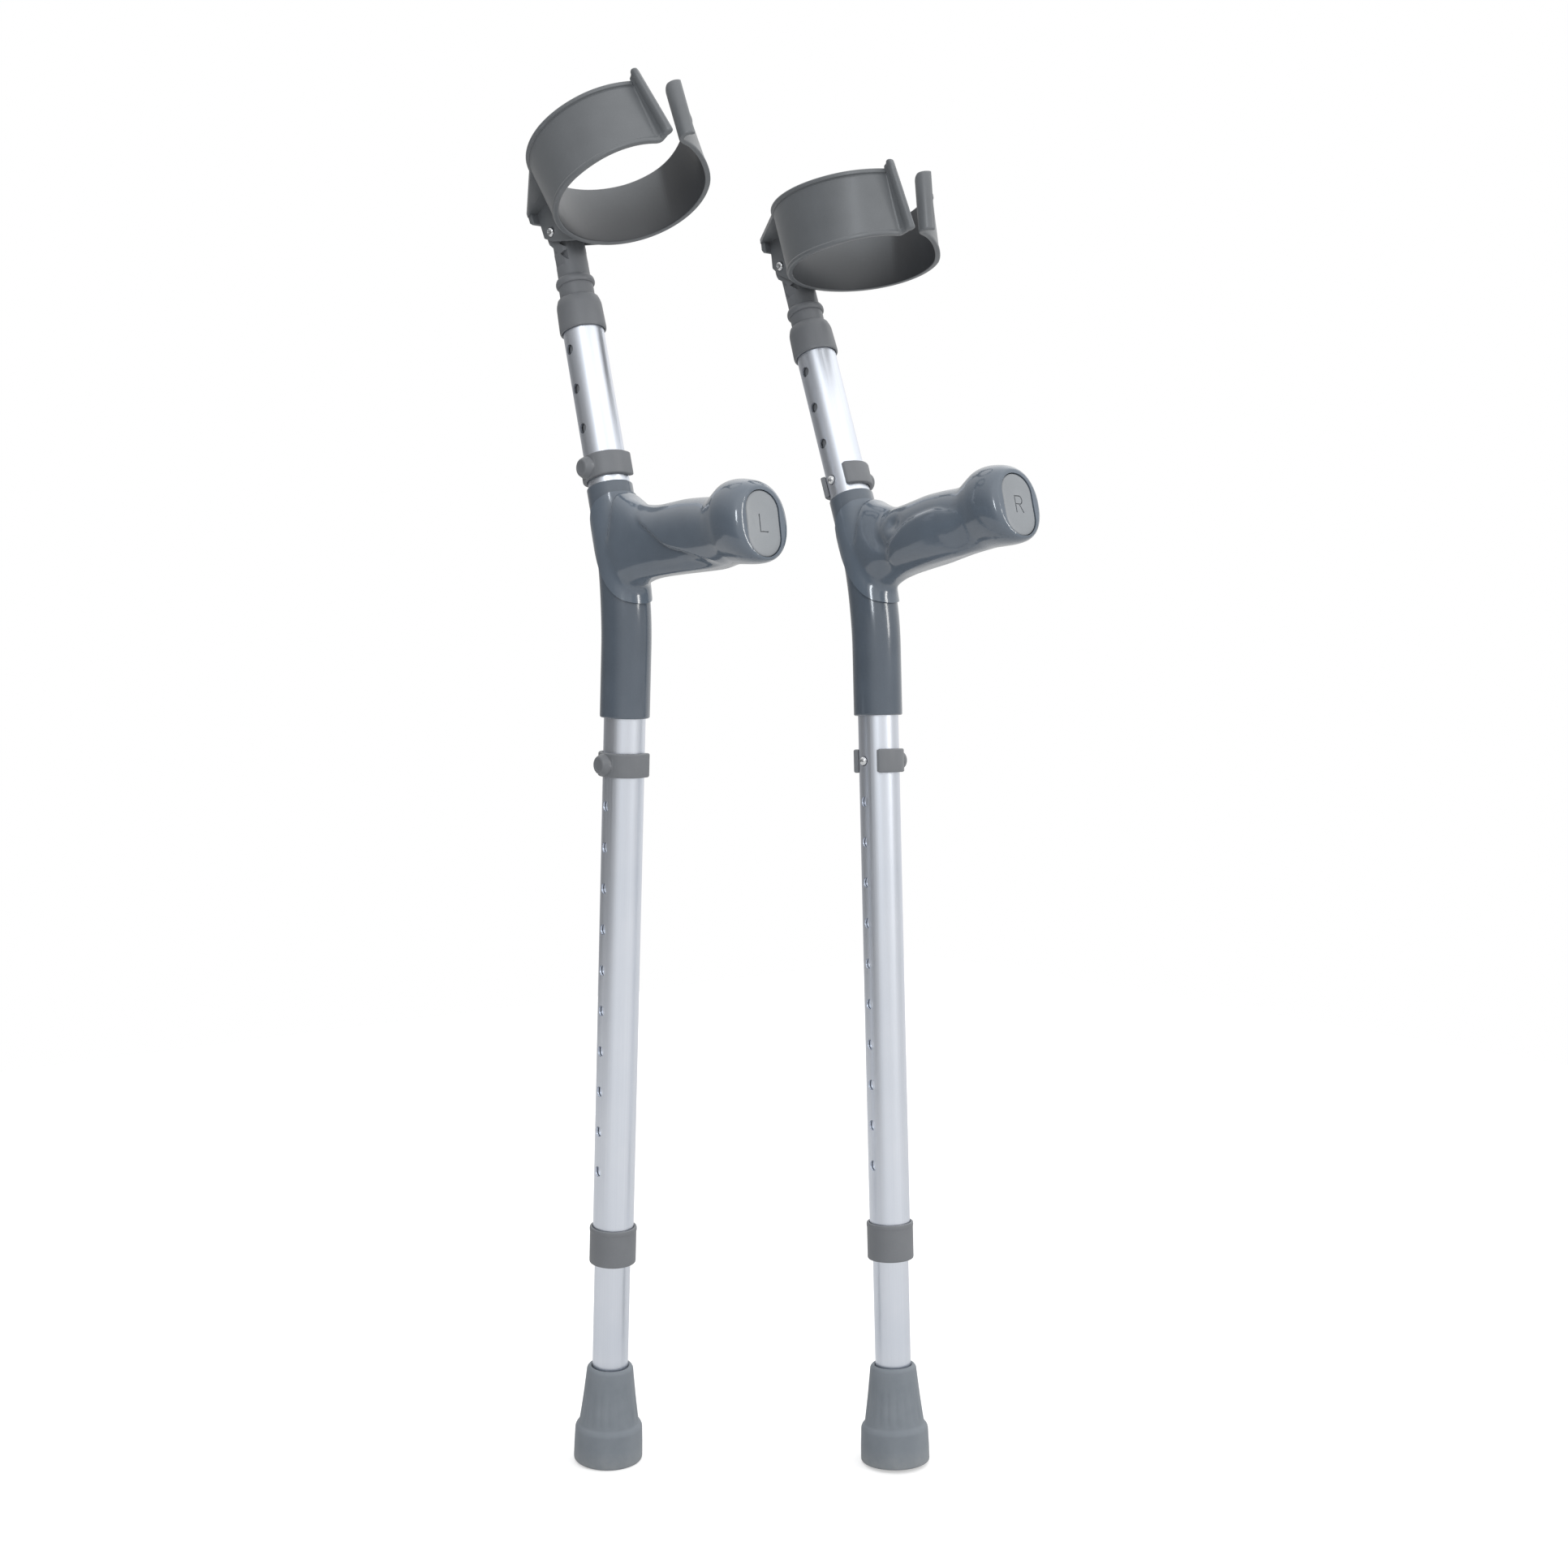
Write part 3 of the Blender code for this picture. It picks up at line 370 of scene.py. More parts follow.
def rubber():
    n = Nodes("moulded_rubber")
    broad = n.noise(55.0, 5.0)
    tone = n.mix(n.ramp(broad, 0.3, 0.7, 0.0, 1.0), (0.150, 0.172, 0.196), (0.190, 0.212, 0.236))
    height = n.add("ShaderNodeSeparateXYZ", {"Vector": n.coords}).outputs["Z"]
    low = n.ramp(height, 0.0, 0.012, 0.5, 0.0)
    dust = n.add("ShaderNodeMath", {0: low, 1: n.noise(220.0, 6.0, 0.7)},
                 operation="MULTIPLY").outputs[0]
    tone = n.mix(dust, tone, (0.36, 0.36, 0.35))
    tone = n.mix(n.edges(0.35), tone, (0.30, 0.32, 0.34))
    n.set("Base Color", tone)
    n.set("Roughness", n.ramp(broad, 0.3, 0.7, 0.55, 0.72))
    n.set("Sheen Weight", 0.06)
    n.set("Normal", n.bump(n.noise(1500.0, 3.0), 0.45, 0.00008))
    return n.mat


def aluminium():
    """Satin anodised drawn tube: long draw lines, faint handling marks."""
    n = Nodes("satin_aluminium")
    drawn = n.noise(2.2, 3.0, 0.6, n.stretched((520.0, 520.0, 3.0)))
    broad = n.noise(18.0, 3.0)
    tone = n.mix(n.ramp(broad, 0.3, 0.7, 0.0, 1.0), (0.72, 0.76, 0.83), (0.78, 0.81, 0.87))
    tone = n.mix(n.ramp(drawn, 0.35, 0.65, 0.0, 0.25), tone, (0.64, 0.68, 0.75))
    n.set("Base Color", tone)
    n.set("Metallic", 1.0)
    marks = n.ramp(n.noise(90.0, 6.0, 0.75, n.stretched((1.0, 1.0, 0.35))), 0.60, 0.72, 0.0, 0.10)
    base = n.ramp(drawn, 0.3, 0.7, 0.30, 0.40)
    n.set("Roughness", n.add("ShaderNodeMath", {0: base, 1: marks}, operation="ADD").outputs[0])
    fine = n.bump(drawn, 0.18, 0.00003)
    n.set("Normal", n.bump(n.noise(1400.0, 2.0), 0.12, 0.00003, fine))
    return n.mat


def steel():
    n = Nodes("plated_steel")
    broad = n.noise(600.0, 4.0)
    tone = n.mix(n.ramp(broad, 0.35, 0.7, 0.0, 1.0), (0.74, 0.75, 0.76), (0.60, 0.61, 0.62))
    n.set("Base Color", tone)
    n.set("Metallic", 1.0)
    n.set("Roughness", n.ramp(broad, 0.3, 0.7, 0.14, 0.26))
    n.set("Normal", n.bump(n.noise(2200.0, 2.0), 0.1, 0.00002))
    return n.mat


MATERIALS = dict(
    tip_rubber=rubber(),
    steel=steel(),
    aluminium=aluminium(),
    grey_plastic=moulded("grey_plastic", (0.150, 0.158, 0.170), (0.24, 0.25, 0.265), 0.46),
    grip_core_plastic=moulded("grip_core_plastic", (0.088, 0.108, 0.135), (0.15, 0.18, 0.21),
                              0.20, 0.35, 0.00004, 0.2),
    grip_cover_plastic=moulded("grip_cover_plastic", (0.112, 0.138, 0.172), (0.18, 0.21, 0.25),
                               0.16, 0.5, 0.00004, 0.2),
    grip_cap_plastic=moulded("grip_cap_plastic", (0.245, 0.262, 0.280), (0.31, 0.325, 0.34),
                             0.40, 0.0, 0.00005),
    cuff_plastic=moulded("cuff_plastic", (0.138, 0.147, 0.156), (0.22, 0.23, 0.25), 0.36, 0.0,
                         # the inside colour is painted shade on the band's inner face
                         inner=(0.045, 0.048, 0.053)),
)


def keep_local(mesh):
    """Store the points' own coordinates, with the tube's bend taken out, for the materials."""
    straight = Matrix.Translation((0, 0, BEND_Z)) @ slide_frame().inverted()
    points = np.empty(len(mesh.vertices) * 3)
    for i, vertex in enumerate(mesh.vertices):
        at = straight @ vertex.co if vertex.co.z > BEND_Z else vertex.co
        points[3 * i:3 * i + 3] = at
    mesh.attributes.new(LOCAL, "FLOAT_VECTOR", "POINT").data.foreach_set("vector", points)


def place(piece, node, slot_name, matrix, body, hand=1):
    """Mirror for the right hand, stand in its place, shade, and hand over to the frame."""
    mesh = piece.data
    if hand < 0:
        mesh.transform(Matrix.Scale(-1, 4, Vector((1, 0, 0))))
        mesh.flip_normals()
    piece.name = "fine_" + node
    mesh.name = piece.name
    keep_local(mesh)
    mesh.transform(matrix)
    mesh.shade_smooth()
    mesh.set_sharp_from_angle(angle=SHARP_ANGLE)
    mesh.materials.clear()
    mesh.materials.append(MATERIALS[slot_name])
    mesh.polygons.foreach_set("material_index", [0] * len(mesh.polygons))
    mesh.update()
    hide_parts(node)
    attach(piece, body)
    return piece


# ------------------------------------------------------------------ leg

def fine_ferrule():
    bore = LEG_R + SLIDE_FIT
    marks = [(2, 0, 0), (8, 0, 0.3), (9, 1.5, 0.3), (11, 1.5, 0.3), (12, 0, 0.3), (15, 0, 0.3),
             (15.6, 0.7, 0.3), (16.8, 0.7, 0.3), (17.4, 0, 0.3), (21.3, 0, 1.6), (21.15, 10, 0),
             (20.75, 20.6, 0.8), (19.9, 22.4, 0.8), (18.6, 23.6, 1.0), (18.15, 26, 1.0),
             (17.2, 33, 0), (16.3, 40, 0), (15.4, 48, 0), (14.6, 55, 0.8), (14.25, 58.4, 1.6),
             (12.6, 60, 1.2), (bore / MM, 59.4, 0.4), (bore / MM, 9, 0), (2, 9, 0)]
    profile = rounded([(r * MM, z * MM, s) for r, z, s in marks], 1.0 * MM)

    def flutes(a, r, z):
        if r < 13 * MM or not 24 * MM < z < 56 * MM:
            return 0.0
        fade = smooth(z, 24 * MM, 28 * MM) * (1 - smooth(z, 38 * MM, 54 * MM))
        return -0.32 * MM * fade * (0.5 + 0.5 * math.cos(20 * a)) ** 2

    dense = []
    for (r0, z0), (r1, z1) in zip(profile, profile[1:] + profile[:1]):
        parts = max(1, int(math.hypot(r1 - r0, z1 - z0) / (2.2 * MM)))
        dense += [(r0 + (r1 - r0) * k / parts, z0 + (z1 - z0) * k / parts) for k in range(parts)]
    return turned(dense, 160, True, flutes)


def fine_washer():
    z = TIP_SEAT + GAP
    ends = [(3, 0, 0.3), (11, 0, 0.3), (11, 1.5, 0.3), (3, 1.5, 0.3)]
    return turned(rounded([(r * MM, z + h * MM, s) for r, h, s in ends], 0.6 * MM), 64)


def fine_leg_tube():
    bottom = TIP_SEAT + WASHER_THICK + 2 * GAP
    ends = [(LEG_R - LEG_WALL, bottom, 1), (LEG_R, bottom, 1), (LEG_R, LEG_TOP, 1),
            (LEG_R - LEG_WALL, LEG_TOP, 1)]
    tube = turned(rounded(ends, 0.3 * MM, 2), 72)
    half = NOTCH / 2
    arc = [(-half * math.cos(t), LEG_CLIP_Z - half * math.sin(t)) for t in half_turn()]
    outline = [(-half, LEG_TOP + MM)] + arc + [(half, LEG_TOP + MM)]
    return boolean(tube, prism_x(outline, -14 * MM, 14 * MM), "DIFFERENCE")


def fine_leg_collar():
    seat, guide = MAIN_R + SLIDE_FIT, LEG_R + SLIDE_FIT
    bottom = MAIN_BOTTOM - 4.2 * MM
    top = bottom + 23 * MM
    outline = [(guide, bottom, 0.5), (COLLAR_R, bottom, 2.8), (COLLAR_R, bottom + 6 * MM, 0),
               (COLLAR_R, top - 3.2 * MM, 0.6), (COLLAR_R + 0.25 * MM, top - 2.2 * MM, 0.6),
               (COLLAR_R + 0.1 * MM, top, 1.0), (seat, top, 0.3),
               (seat, MAIN_BOTTOM - GAP, 0), (guide, MAIN_BOTTOM - GAP, 0)]
    return turned(rounded(outline, 1.0 * MM, 6), 96)


# ------------------------------------------------------------------ main tube and clips

def fine_main_tube():
    path = tube_path(MAIN_BOTTOM, (FOREARM_TOP,))
    inner = MAIN_R - MAIN_WALL
    rings = [path_ring(p, a, MAIN_R) for p, a in path]
    rings += [path_ring(p, a, inner) for p, a in reversed(path)]
    tube = loft(rings, closed=True)
    centres = [Vector((0, 0, LEG_HOLE + i * PITCH)) for i in range(LEG_HOLES)]
    centres += [slide_frame() @ Vector((0, 0, ARM_HOLE + i * PITCH)) for i in range(ARM_HOLES)]
    verts, faces, n = [], [], 28
    for c in centres:
        base = len(verts)
        for x in (-14 * MM, 14 * MM):
            verts += [(x, c.y + p.y, c.z + p.x) for p in circle(HOLE_R, 0, n)]
        faces += [(base + i, base + (i + 1) % n, base + n + (i + 1) % n, base + n + i)
                  for i in range(n)]
        faces += [tuple(base + i for i in reversed(range(n))),
                  tuple(base + n + i for i in range(n))]
    return boolean(tube, new_object(verts, faces), "DIFFERENCE")


def fine_clip():
    """C-shaped band with squared ends and a tapering boss."""
    half, inner_r, outer_r = 7.3 * MM, 12.9 * MM, 15.4 * MM
    mouth = math.radians(44)
    steps = 96
    rings = []
    for i in range(steps + 1):
        t = i / steps
        angle = mouth + (2 * math.pi - 2 * mouth) * t
        near_end = min(i, steps - i)
        flare = 0.6 * MM * (1 - smooth(near_end, 2, 9))
        inset = 0.7 * MM * (1 - smooth(near_end, 0, 2.5))
        hollow = 0.5 * MM * smooth(near_end, 6, 14)
        outer = outer_r + flare - inset * 0.8
        tall = half - inset
        rows = rounded([(inner_r, -tall, 0.6), (outer, -tall, 1.5), (outer - hollow * 0.3, 0, 0),
                        (outer, tall, 1.5), (inner_r, tall, 0.6)], 0.8 * MM, 4)
        rings.append([Vector((r * math.cos(angle), r * math.sin(angle), z)) for r, z in rows])
    band = loft(rings)
    boss = turned_x([(-13.4 * MM, 6.9 * MM), (-14.9 * MM, 6.9 * MM), (-15.6 * MM, 6.7 * MM),
                     (-17.4 * MM, 5.75 * MM), (-18.2 * MM, 5.3 * MM), (-18.62 * MM, 4.9 * MM),
                     (-18.8 * MM, 4.3 * MM), (-18.8 * MM, 3.6 * MM), (-18.55 * MM, 3.3 * MM),
                     (-18.5 * MM, 2.0 * MM)], 56)
    band = boolean(band, boss, "UNION")
    band = boolean(band, rod_x(PIN_R + 0.4 * MM, -17.3 * MM, -5 * MM), "DIFFERENCE")
    shaft = loft([circle(inner_r - 0.02 * MM, z, 96) for z in (-half - MM, half + MM)])
    return boolean(band, shaft, "DIFFERENCE")


def fine_pin():
    head, tip = -16.9 * MM, MAIN_R + 2.3 * MM
    stations = [(head, PIN_R - 0.4 * MM), (head + 0.15 * MM, PIN_R - 0.1 * MM),
                (head + 0.4 * MM, PIN_R)]
    for i in range(11):
        a = math.radians(86) * i / 10
        stations.append((tip - 2.2 * MM + 2.2 * MM * math.sin(a), PIN_R * math.cos(a)))
    return turned_x(stations, 40)


# ------------------------------------------------------------------ grip

def shaft_body(extra, below=0.0, above=0.0, n=96):
    """The sleeve's solid outline, grown by extra, and longer below and above."""
    tops = [RIM_S * 0.6, RIM_S] + ([RIM_S + above] if above else [])
    rings = []
    for at, angle in tube_path(SLEEVE_BOTTOM - below, tops):
        slim = smooth(at.z, BEND_Z - 16 * MM, BEND_Z + 40 * MM)
        rings.append(path_ring(at, angle, SLEEVE_R + (RIM_R - SLEEVE_R) * slim + extra, n))
    return loft(rings)


# The handle by distance from the shaft, in millimetres: its top, underside, half width and offset
TOP = [(-2, 598), (6, 594), (14, 591.4), (22, 590.2), (32, 589.8), (46, 591.3), (60, 593.0),
       (76, 593.8), (88, 594.2), (93, 595.6), (99, 599.3), (105, 602.4), (112, 603.7),
       (118, 603.5), (123, 602.6), (126.2, 601.0), (127.5, 600.0)]
UNDER = [(-2, 547), (6, 543), (12, 541.5), (18, 543.6), (24, 545.6), (32, 547.4), (46, 549.4),
         (60, 551.2), (76, 553.3), (90, 555.3), (100, 556.6), (108, 556.8), (116, 557.0),
         (122.5, 557.9), (126.2, 559.3), (127.5, 560.2)]
WIDE = [(-2, 15.0), (6, 15.3), (14, 15.2), (22, 15.0), (32, 15.1), (46, 15.5), (60, 16.0),
        (76, 16.4), (90, 16.8), (99, 18.2), (106, 19.8), (114, 20.6), (121, 20.0), (125.6, 17.8),
        (127.5, 15.4)]
ASIDE = [(0, 0.0), (22, 0.3), (32, 0.8), (46, 1.4), (60, 1.8), (76, 1.6), (90, 0.8), (106, 0.0)]
# The crease above the web on the thumb's side, the palm wing's edge and the saddle's middle
CREASE = [(-2, 601), (9, 597), (24, 581.5), (37, 574.5), (53, 566), (70, 562.3), (84, 559.2),
          (103, 556)]
WING = [(24, 561), (33, 566), (43.5, 573), (52.5, 577), (64, 579.6), (77, 581), (92, 579)]
SADDLE = [(552, 34), (560, 28), (566, 22), (575, 15.5), (583, 15.5), (589, 19), (600, 24)]


def relief(d, z, c):
    """How far the hand's shapes lift or sink the handle's surface, in millimetres.

    d is the distance from the shaft, z the height, c the cosine round the section.
    """
    if c < 0:
        side = smooth(-c, 0.10, 0.45)
        under = smooth(through(CREASE, d) - z, -0.8, 1.2)
        depth = 1.2 + 2.6 * smooth(d, 14, 44)
        return -depth * under * side * smooth(d, 2, 16) * (1 - smooth(d, 66, 96))
    side = smooth(c, 0.0, 0.35)
    groove = math.exp(-((d - through(SADDLE, z)) / 7.0) ** 2)
    lift = -3.0 * groove * (0.3 + 0.7 * side) * smooth(z, 556, 567)
    ahead = smooth(d, 25, 33) * (1 - smooth(d, 78, 100))
    flank = smooth(through(WING, d) - z, -1.3, 1.7)
    lift += 2.0 * flank * ahead * side * smooth(z, 546, 560)
    pocket = math.exp(-((d - 34) / 7.0) ** 2 - ((z - 577.5) / 5.0) ** 2)
    return lift - 2.4 * pocket * side


def handle_body(nd=110, na=96):
    """The handle as a dense loft, with the thumb's web, the palm's wing and the saddle."""
    rings = []
    for k in range(nd):
        t = k / (nd - 1)
        d = -2 + 129.5 * (t ** 0.9 if t < 0.9 else 1 - (1 - t) * (1 - 0.9 ** 0.9) / 0.1)
        top, low = through(TOP, d), through(UNDER, d)
        middle, half = (top + low) / 2, (top - low) / 2
        lean = math.tan(HANDLE_TILT) * smooth(d, 25, 85)
        ring = []
        for i in range(na):
            a = 2 * math.pi * i / na
            c, s = math.cos(a), math.sin(a)
            rise = math.copysign(abs(s) ** 0.92, s)
            z = middle + half * rise
            web = smooth(through(CREASE, d) - z, -1, 4) * (1 - smooth(d, 58, 92)) * (c < 0)
            x = math.copysign(abs(c) ** (0.92 - 0.5 * web), c)
            out = relief(d, z, c)
            x = through(ASIDE, d) + through(WIDE, d) * x + out * c
            rise = half * rise + out * s
            ring.append(Vector((x, -(d - lean * rise), middle + rise)) * MM)
        rings.append(ring)
    return loft(rings)


# The cover's rear edge beside the shaft, as (forward, height) in millimetres
SEAM = [(-24, 531.5), (-15, 531.5), (-10, 533.4), (-5, 537), (-0.5, 541.2), (4, 546), (8, 551),
        (12, 556.4), (16, 562), (19, 568), (20.8, 574), (20.8, 580), (18.6, 586), (14, 591.6),
        (8, 596.4), (1, 599.6), (-6, 600.8), (-24, 600.8)]


# The end cap's dome as (share of its outline, rise as a share of the dome's height)
DOME = ((1.0, -0.9), (0.992, -0.55), (0.97, -0.25), (0.93, -0.08), (0.80, 0.0), (0.5, 0.25),
        (0.2, 0.35))


def end_plate(grow, depth0, depth1, n=24, dome=0.0):
    """The end cap's oval as a plate, or as a cutter for it, between two depths at the end."""
    half, straight = CAP_W + grow, CAP_H - CAP_W
    outline = []
    for start, shift in ((0.0, straight), (math.pi, -straight)):
        outline += [(half * math.cos(start + math.pi * i / n),
                     shift + half * math.sin(start + math.pi * i / n)) for i in range(n + 1)]
    if not dome:
        plate = prism_z(outline, depth0, depth1)
    else:
        levels = [(1.0, depth0)] + [(share, depth1 + rise * dome) for share, rise in DOME]
        rings = [[Vector((x * share, y * share, depth)) for x, y in outline]
                 for share, depth in levels]
        plate = loft(rings)
    return moved(plate, end_matrix())


def end_matrix():
    turn = Matrix.Rotation(math.radians(90) - HANDLE_TILT, 4, "X")
    return Matrix.Translation((0, -HANDLE_END, HANDLE_END_Z)) @ turn


def spine(grow, beyond=0.0):
    """The core's beam inside the handle."""
    rings = []
    for d in [SPINE_END * k / 8 for k in range(9)] + ([SPINE_END + beyond] if beyond else []):
        near = min(d, 126.5)
        middle = (through(TOP, near) + through(UNDER, near)) / 2
        ring = []
        for i in range(40):
            a = 2 * math.pi * i / 40
            ring.append(Vector((through(ASIDE, near) + (SPINE_WIDE + grow) * math.cos(a), -d,
                                middle + (SPINE_HIGH + grow) * math.sin(a))) * MM)
        rings.append(ring)
    return loft(rings)


def blended(target, iterations=110):
    """Soften the junction of the shaft, the web and the underside of the handle."""
    group = target.vertex_groups.new(name="junction")
    for vertex in target.data.vertices:
        d, z = -vertex.co.y / MM, vertex.co.z / MM
        share = smooth(d, -10, 0) * (1 - smooth(d, 18, 30)) * smooth(z, 528, 536)
        share = max(share, smooth(d, -16, -4) * (1 - smooth(d, 26, 44)) * smooth(z, 586, 590))
        if share > 0.01:
            group.add([vertex.index], share, "REPLACE")
    soft = target.modifiers.new("soft", "SMOOTH")
    soft.factor, soft.iterations, soft.vertex_group = 0.5, iterations, group.name
    return apply(target)


def fine_grip_cover():
    jacket = shaft_body(COVER_PROUD, -30 * MM, 0.0)
    solid = boolean(handle_body(), jacket, "UNION")
    solid = blended(remeshed(solid, 0.75 * MM, 5))
    ahead = SEAM[:-1] + [(-24, 612), (-170, 640), (-170, 500), (-24, 500)]
    front = prism_x([(y * MM, z * MM) for y, z in ahead], -40 * MM, 40 * MM)
    solid = boolean(solid, front, "INTERSECT")
    solid = boolean(solid, shaft_body(GAP, 5 * MM, 8 * MM), "DIFFERENCE")
    solid = boolean(solid, spine(0.3, 9), "DIFFERENCE")
    return boolean(solid, end_plate(GAP, -CAP_THICK - 2 * GAP, 6 * MM), "DIFFERENCE")


def pin_place():
    """The grip pin's axis is across the tube at this point."""
    return Matrix.Translation(slide_frame() @ Vector((0, 0, GRIP_PIN_S)))


def fine_grip_core():
    core = bevelled(shaft_body(0.0), 1.1 * MM, 4, 50)
    core = boolean(core, spine(0.0), "UNION")
    bore = loft([path_ring(p, a, MAIN_R + SLIDE_FIT)
                 for p, a in tube_path(SLEEVE_BOTTOM - 5 * MM, (RIM_S + 5 * MM,))])
    core = boolean(core, bore, "DIFFERENCE")
    hole = moved(rod_x(GRIP_PIN_R + GAP, -20 * MM, 20 * MM), pin_place())
    return boolean(core, hole, "DIFFERENCE")


def fine_grip_pin():
    half, chamfer = 13.4 * MM, 0.4 * MM
    stations = [(-half, GRIP_PIN_R - chamfer), (-half + chamfer, GRIP_PIN_R),
                (half - chamfer, GRIP_PIN_R), (half, GRIP_PIN_R - chamfer)]
    return moved(turned_x(stations, 32), pin_place())


def stroke(points, pen, depth):
    """A pen stroke of one width along a line of points, as a cutter in the end plate's frame."""
    points = [Vector(p) for p in points]
    left, right = [], []
    for i, p in enumerate(points):
        ahead = points[min(i + 1, len(points) - 1)] - points[max(i - 1, 0)]
        across = Vector((-ahead.y, ahead.x)).normalized() * pen
        left.append(p + across)
        right.append(p - across)
    return prism_z([(p.x, p.y) for p in left + right[::-1]], -depth, 3 * MM)


def fine_cap(letter):
    """End plug with a shallow dome and one engraved letter."""
    cap = end_plate(0.0, -CAP_THICK, -0.1 * MM, 24, 1.0 * MM)
    pen, high, wide = 0.34 * MM, 4.8 * MM, 2.7 * MM
    lines = [[(-wide, -high - pen), (-wide, high + pen)]]
    if letter == "L":
        lines.append([(-wide - 0.9 * pen, -high), (wide, -high)])
    else:
        bowl = [(0.25 * wide + 0.72 * wide * math.sin(a), 0.5 * high + 0.5 * high * math.cos(a))
                for a in half_turn()]
        lines.append([(-wide - 0.9 * pen, high)] + bowl + [(-wide - 0.8 * pen, 0.0)])
        lines.append([(0.0, 0.1 * pen), (wide, -high - 0.9 * pen)])
    for k, line in enumerate(lines):
        cutter = stroke(line, pen * (1 + 0.04 * k), (0.55 + 0.03 * k) * MM)
        cap = boolean(cap, moved(cutter, end_matrix()), "DIFFERENCE")
    peg = prism_z([(-4 * MM, 2 * MM), (4 * MM, 2 * MM), (4 * MM, 9 * MM), (-4 * MM, 9 * MM)],
                  -5 * MM, 5 * MM)
    moved(peg, Matrix.Translation((0, -HANDLE_END, HANDLE_END_Z - 2 * MM)))
    return boolean(cap, bevelled(peg, 0.4 * MM, 2), "UNION")


# ------------------------------------------------------------------ forearm section

def fine_forearm_collar():
    seat, guide = MAIN_R + SLIDE_FIT, STEM_R + SLIDE_FIT
    bottom, top = FOREARM_TOP - 17 * MM, FOREARM_TOP + 4.5 * MM
    step = FOREARM_TOP + GAP
    outline = [(seat, bottom, 0.3), (COLLAR_R - 0.3 * MM, bottom, 0.8),
               (COLLAR_R, bottom + 1.6 * MM, 0.8), (COLLAR_R - 0.5 * MM, top - 4.2 * MM, 1.6),
               (COLLAR_R - 1.8 * MM, top - 0.4 * MM, 1.6), (guide + 0.5 * MM, top + 0.1 * MM, 0.5),
               (guide, top - 0.5 * MM, 0.3), (guide, step, 0), (seat, step, 0)]
    return turned(rounded(outline, 1.2 * MM, 6), 96)


def fine_stem():
    profile = [(STEM_R - 0.5 * MM, STEM_BOTTOM), (STEM_R, STEM_BOTTOM + 0.5 * MM)]
    profile += [(STEM_R, STEM_BOTTOM + t * (BEAD_S - 3.2 * MM - STEM_BOTTOM)) for t in (0.5, 1.0)]
    for k in range(13):
        a = math.pi * k / 12
        r = 10.25 * MM + 1.65 * MM * math.sin(a) ** 0.8 + 0.35 * MM * math.cos(a)
        profile.append((r, BEAD_S - 2.6 * MM * math.cos(a)))
    profile += [(9.85 * MM, BEAD_S + 3.4 * MM), (9.8 * MM, BEAD_S + 8 * MM), (9.8 * MM, PIVOT_S)]
    body = loft([circle(r, z, 72) for r, z in profile])
    head = turned_x([(-8.5 * MM, 9.0 * MM), (-8.2 * MM, 9.5 * MM), (8.2 * MM, 9.5 * MM),
                     (8.5 * MM, 9.0 * MM)], 72)
    body = boolean(body, moved(head, Matrix.Translation((0, 0, PIVOT_S))), "UNION")
    neck = PIVOT_S - 22 * MM
    for side in (-1, 1):
        outline = [(-15 * MM, neck), (15 * MM, neck), (15 * MM, neck + 50 * MM),
                   (-15 * MM, neck + 50 * MM)]
        slab = prism_x(outline, side * 8.5 * MM, side * 20 * MM)
        body = boolean(body, slab, "DIFFERENCE")
        for low, high in ((neck + 1 * MM, neck + 7.5 * MM), (neck + 9.5 * MM, neck + 14.5 * MM)):
            front = [(1.5 * MM, low), (8 * MM, low - 0.5 * MM), (8 * MM, high + 3 * MM)]
            rear = [(-8 * MM, low - 0.5 * MM), (-1.5 * MM, high), (-8 * MM, high + 1 * MM)]
            for pocket in (front, rear):
                cutter = prism_x(pocket, side * 6.9 * MM, side * 12 * MM)
                body = boolean(body, cutter, "DIFFERENCE")
    body = boolean(body, rod_x(RIVET_R + GAP, -20 * MM, 20 * MM, PIVOT_S), "DIFFERENCE")
    half = NOTCH / 2
    arc = [(half * math.cos(t), ARM_HOLE + half * math.sin(t)) for t in half_turn()]
    outline = [(half, STEM_BOTTOM - MM)] + arc + [(-half, STEM_BOTTOM - MM)]
    return boolean(body, prism_x(outline, -14 * MM, 14 * MM), "DIFFERENCE")


def lip_path(angle, side, bend_r, steps, sweep, reach):
    start = Vector((math.sin(angle), -math.cos(angle))) * CUFF_R
    outward = start.normalized()
    along = Vector((-outward.y, outward.x)) * side
    centre = start + outward * (bend_r + CUFF_WALL)
    made = []
    for i in range(1, steps + 1):
        turn = sweep * i / steps
        out = outward * math.cos(turn) - along * math.sin(turn)
        made.append((centre - out * (bend_r + CUFF_WALL), out))
    last, out = made[-1]
    ahead = Vector((-out.y, out.x)) * side
    return made + [(last + ahead * r, out) for r in reach]


def band_swell(x, y, z):
    """How far the band stands off its plain circle at a point; the mouth is at -Y."""
    share = (z - CUFF_BOTTOM) / (CUFF_TOP - CUFF_BOTTOM)
    angle = math.degrees(math.atan2(x, -y))
    back = (BACK_SWELL[0] + (BACK_SWELL[1] - BACK_SWELL[0]) * share) * smooth(abs(angle), 60, 150)
    tuck = FAR_TUCK * share * smooth(angle, 18, 42) * (1 - smooth(angle, 75, 120))
    return CUFF_CONE * z / CUFF_TOP + back - tuck


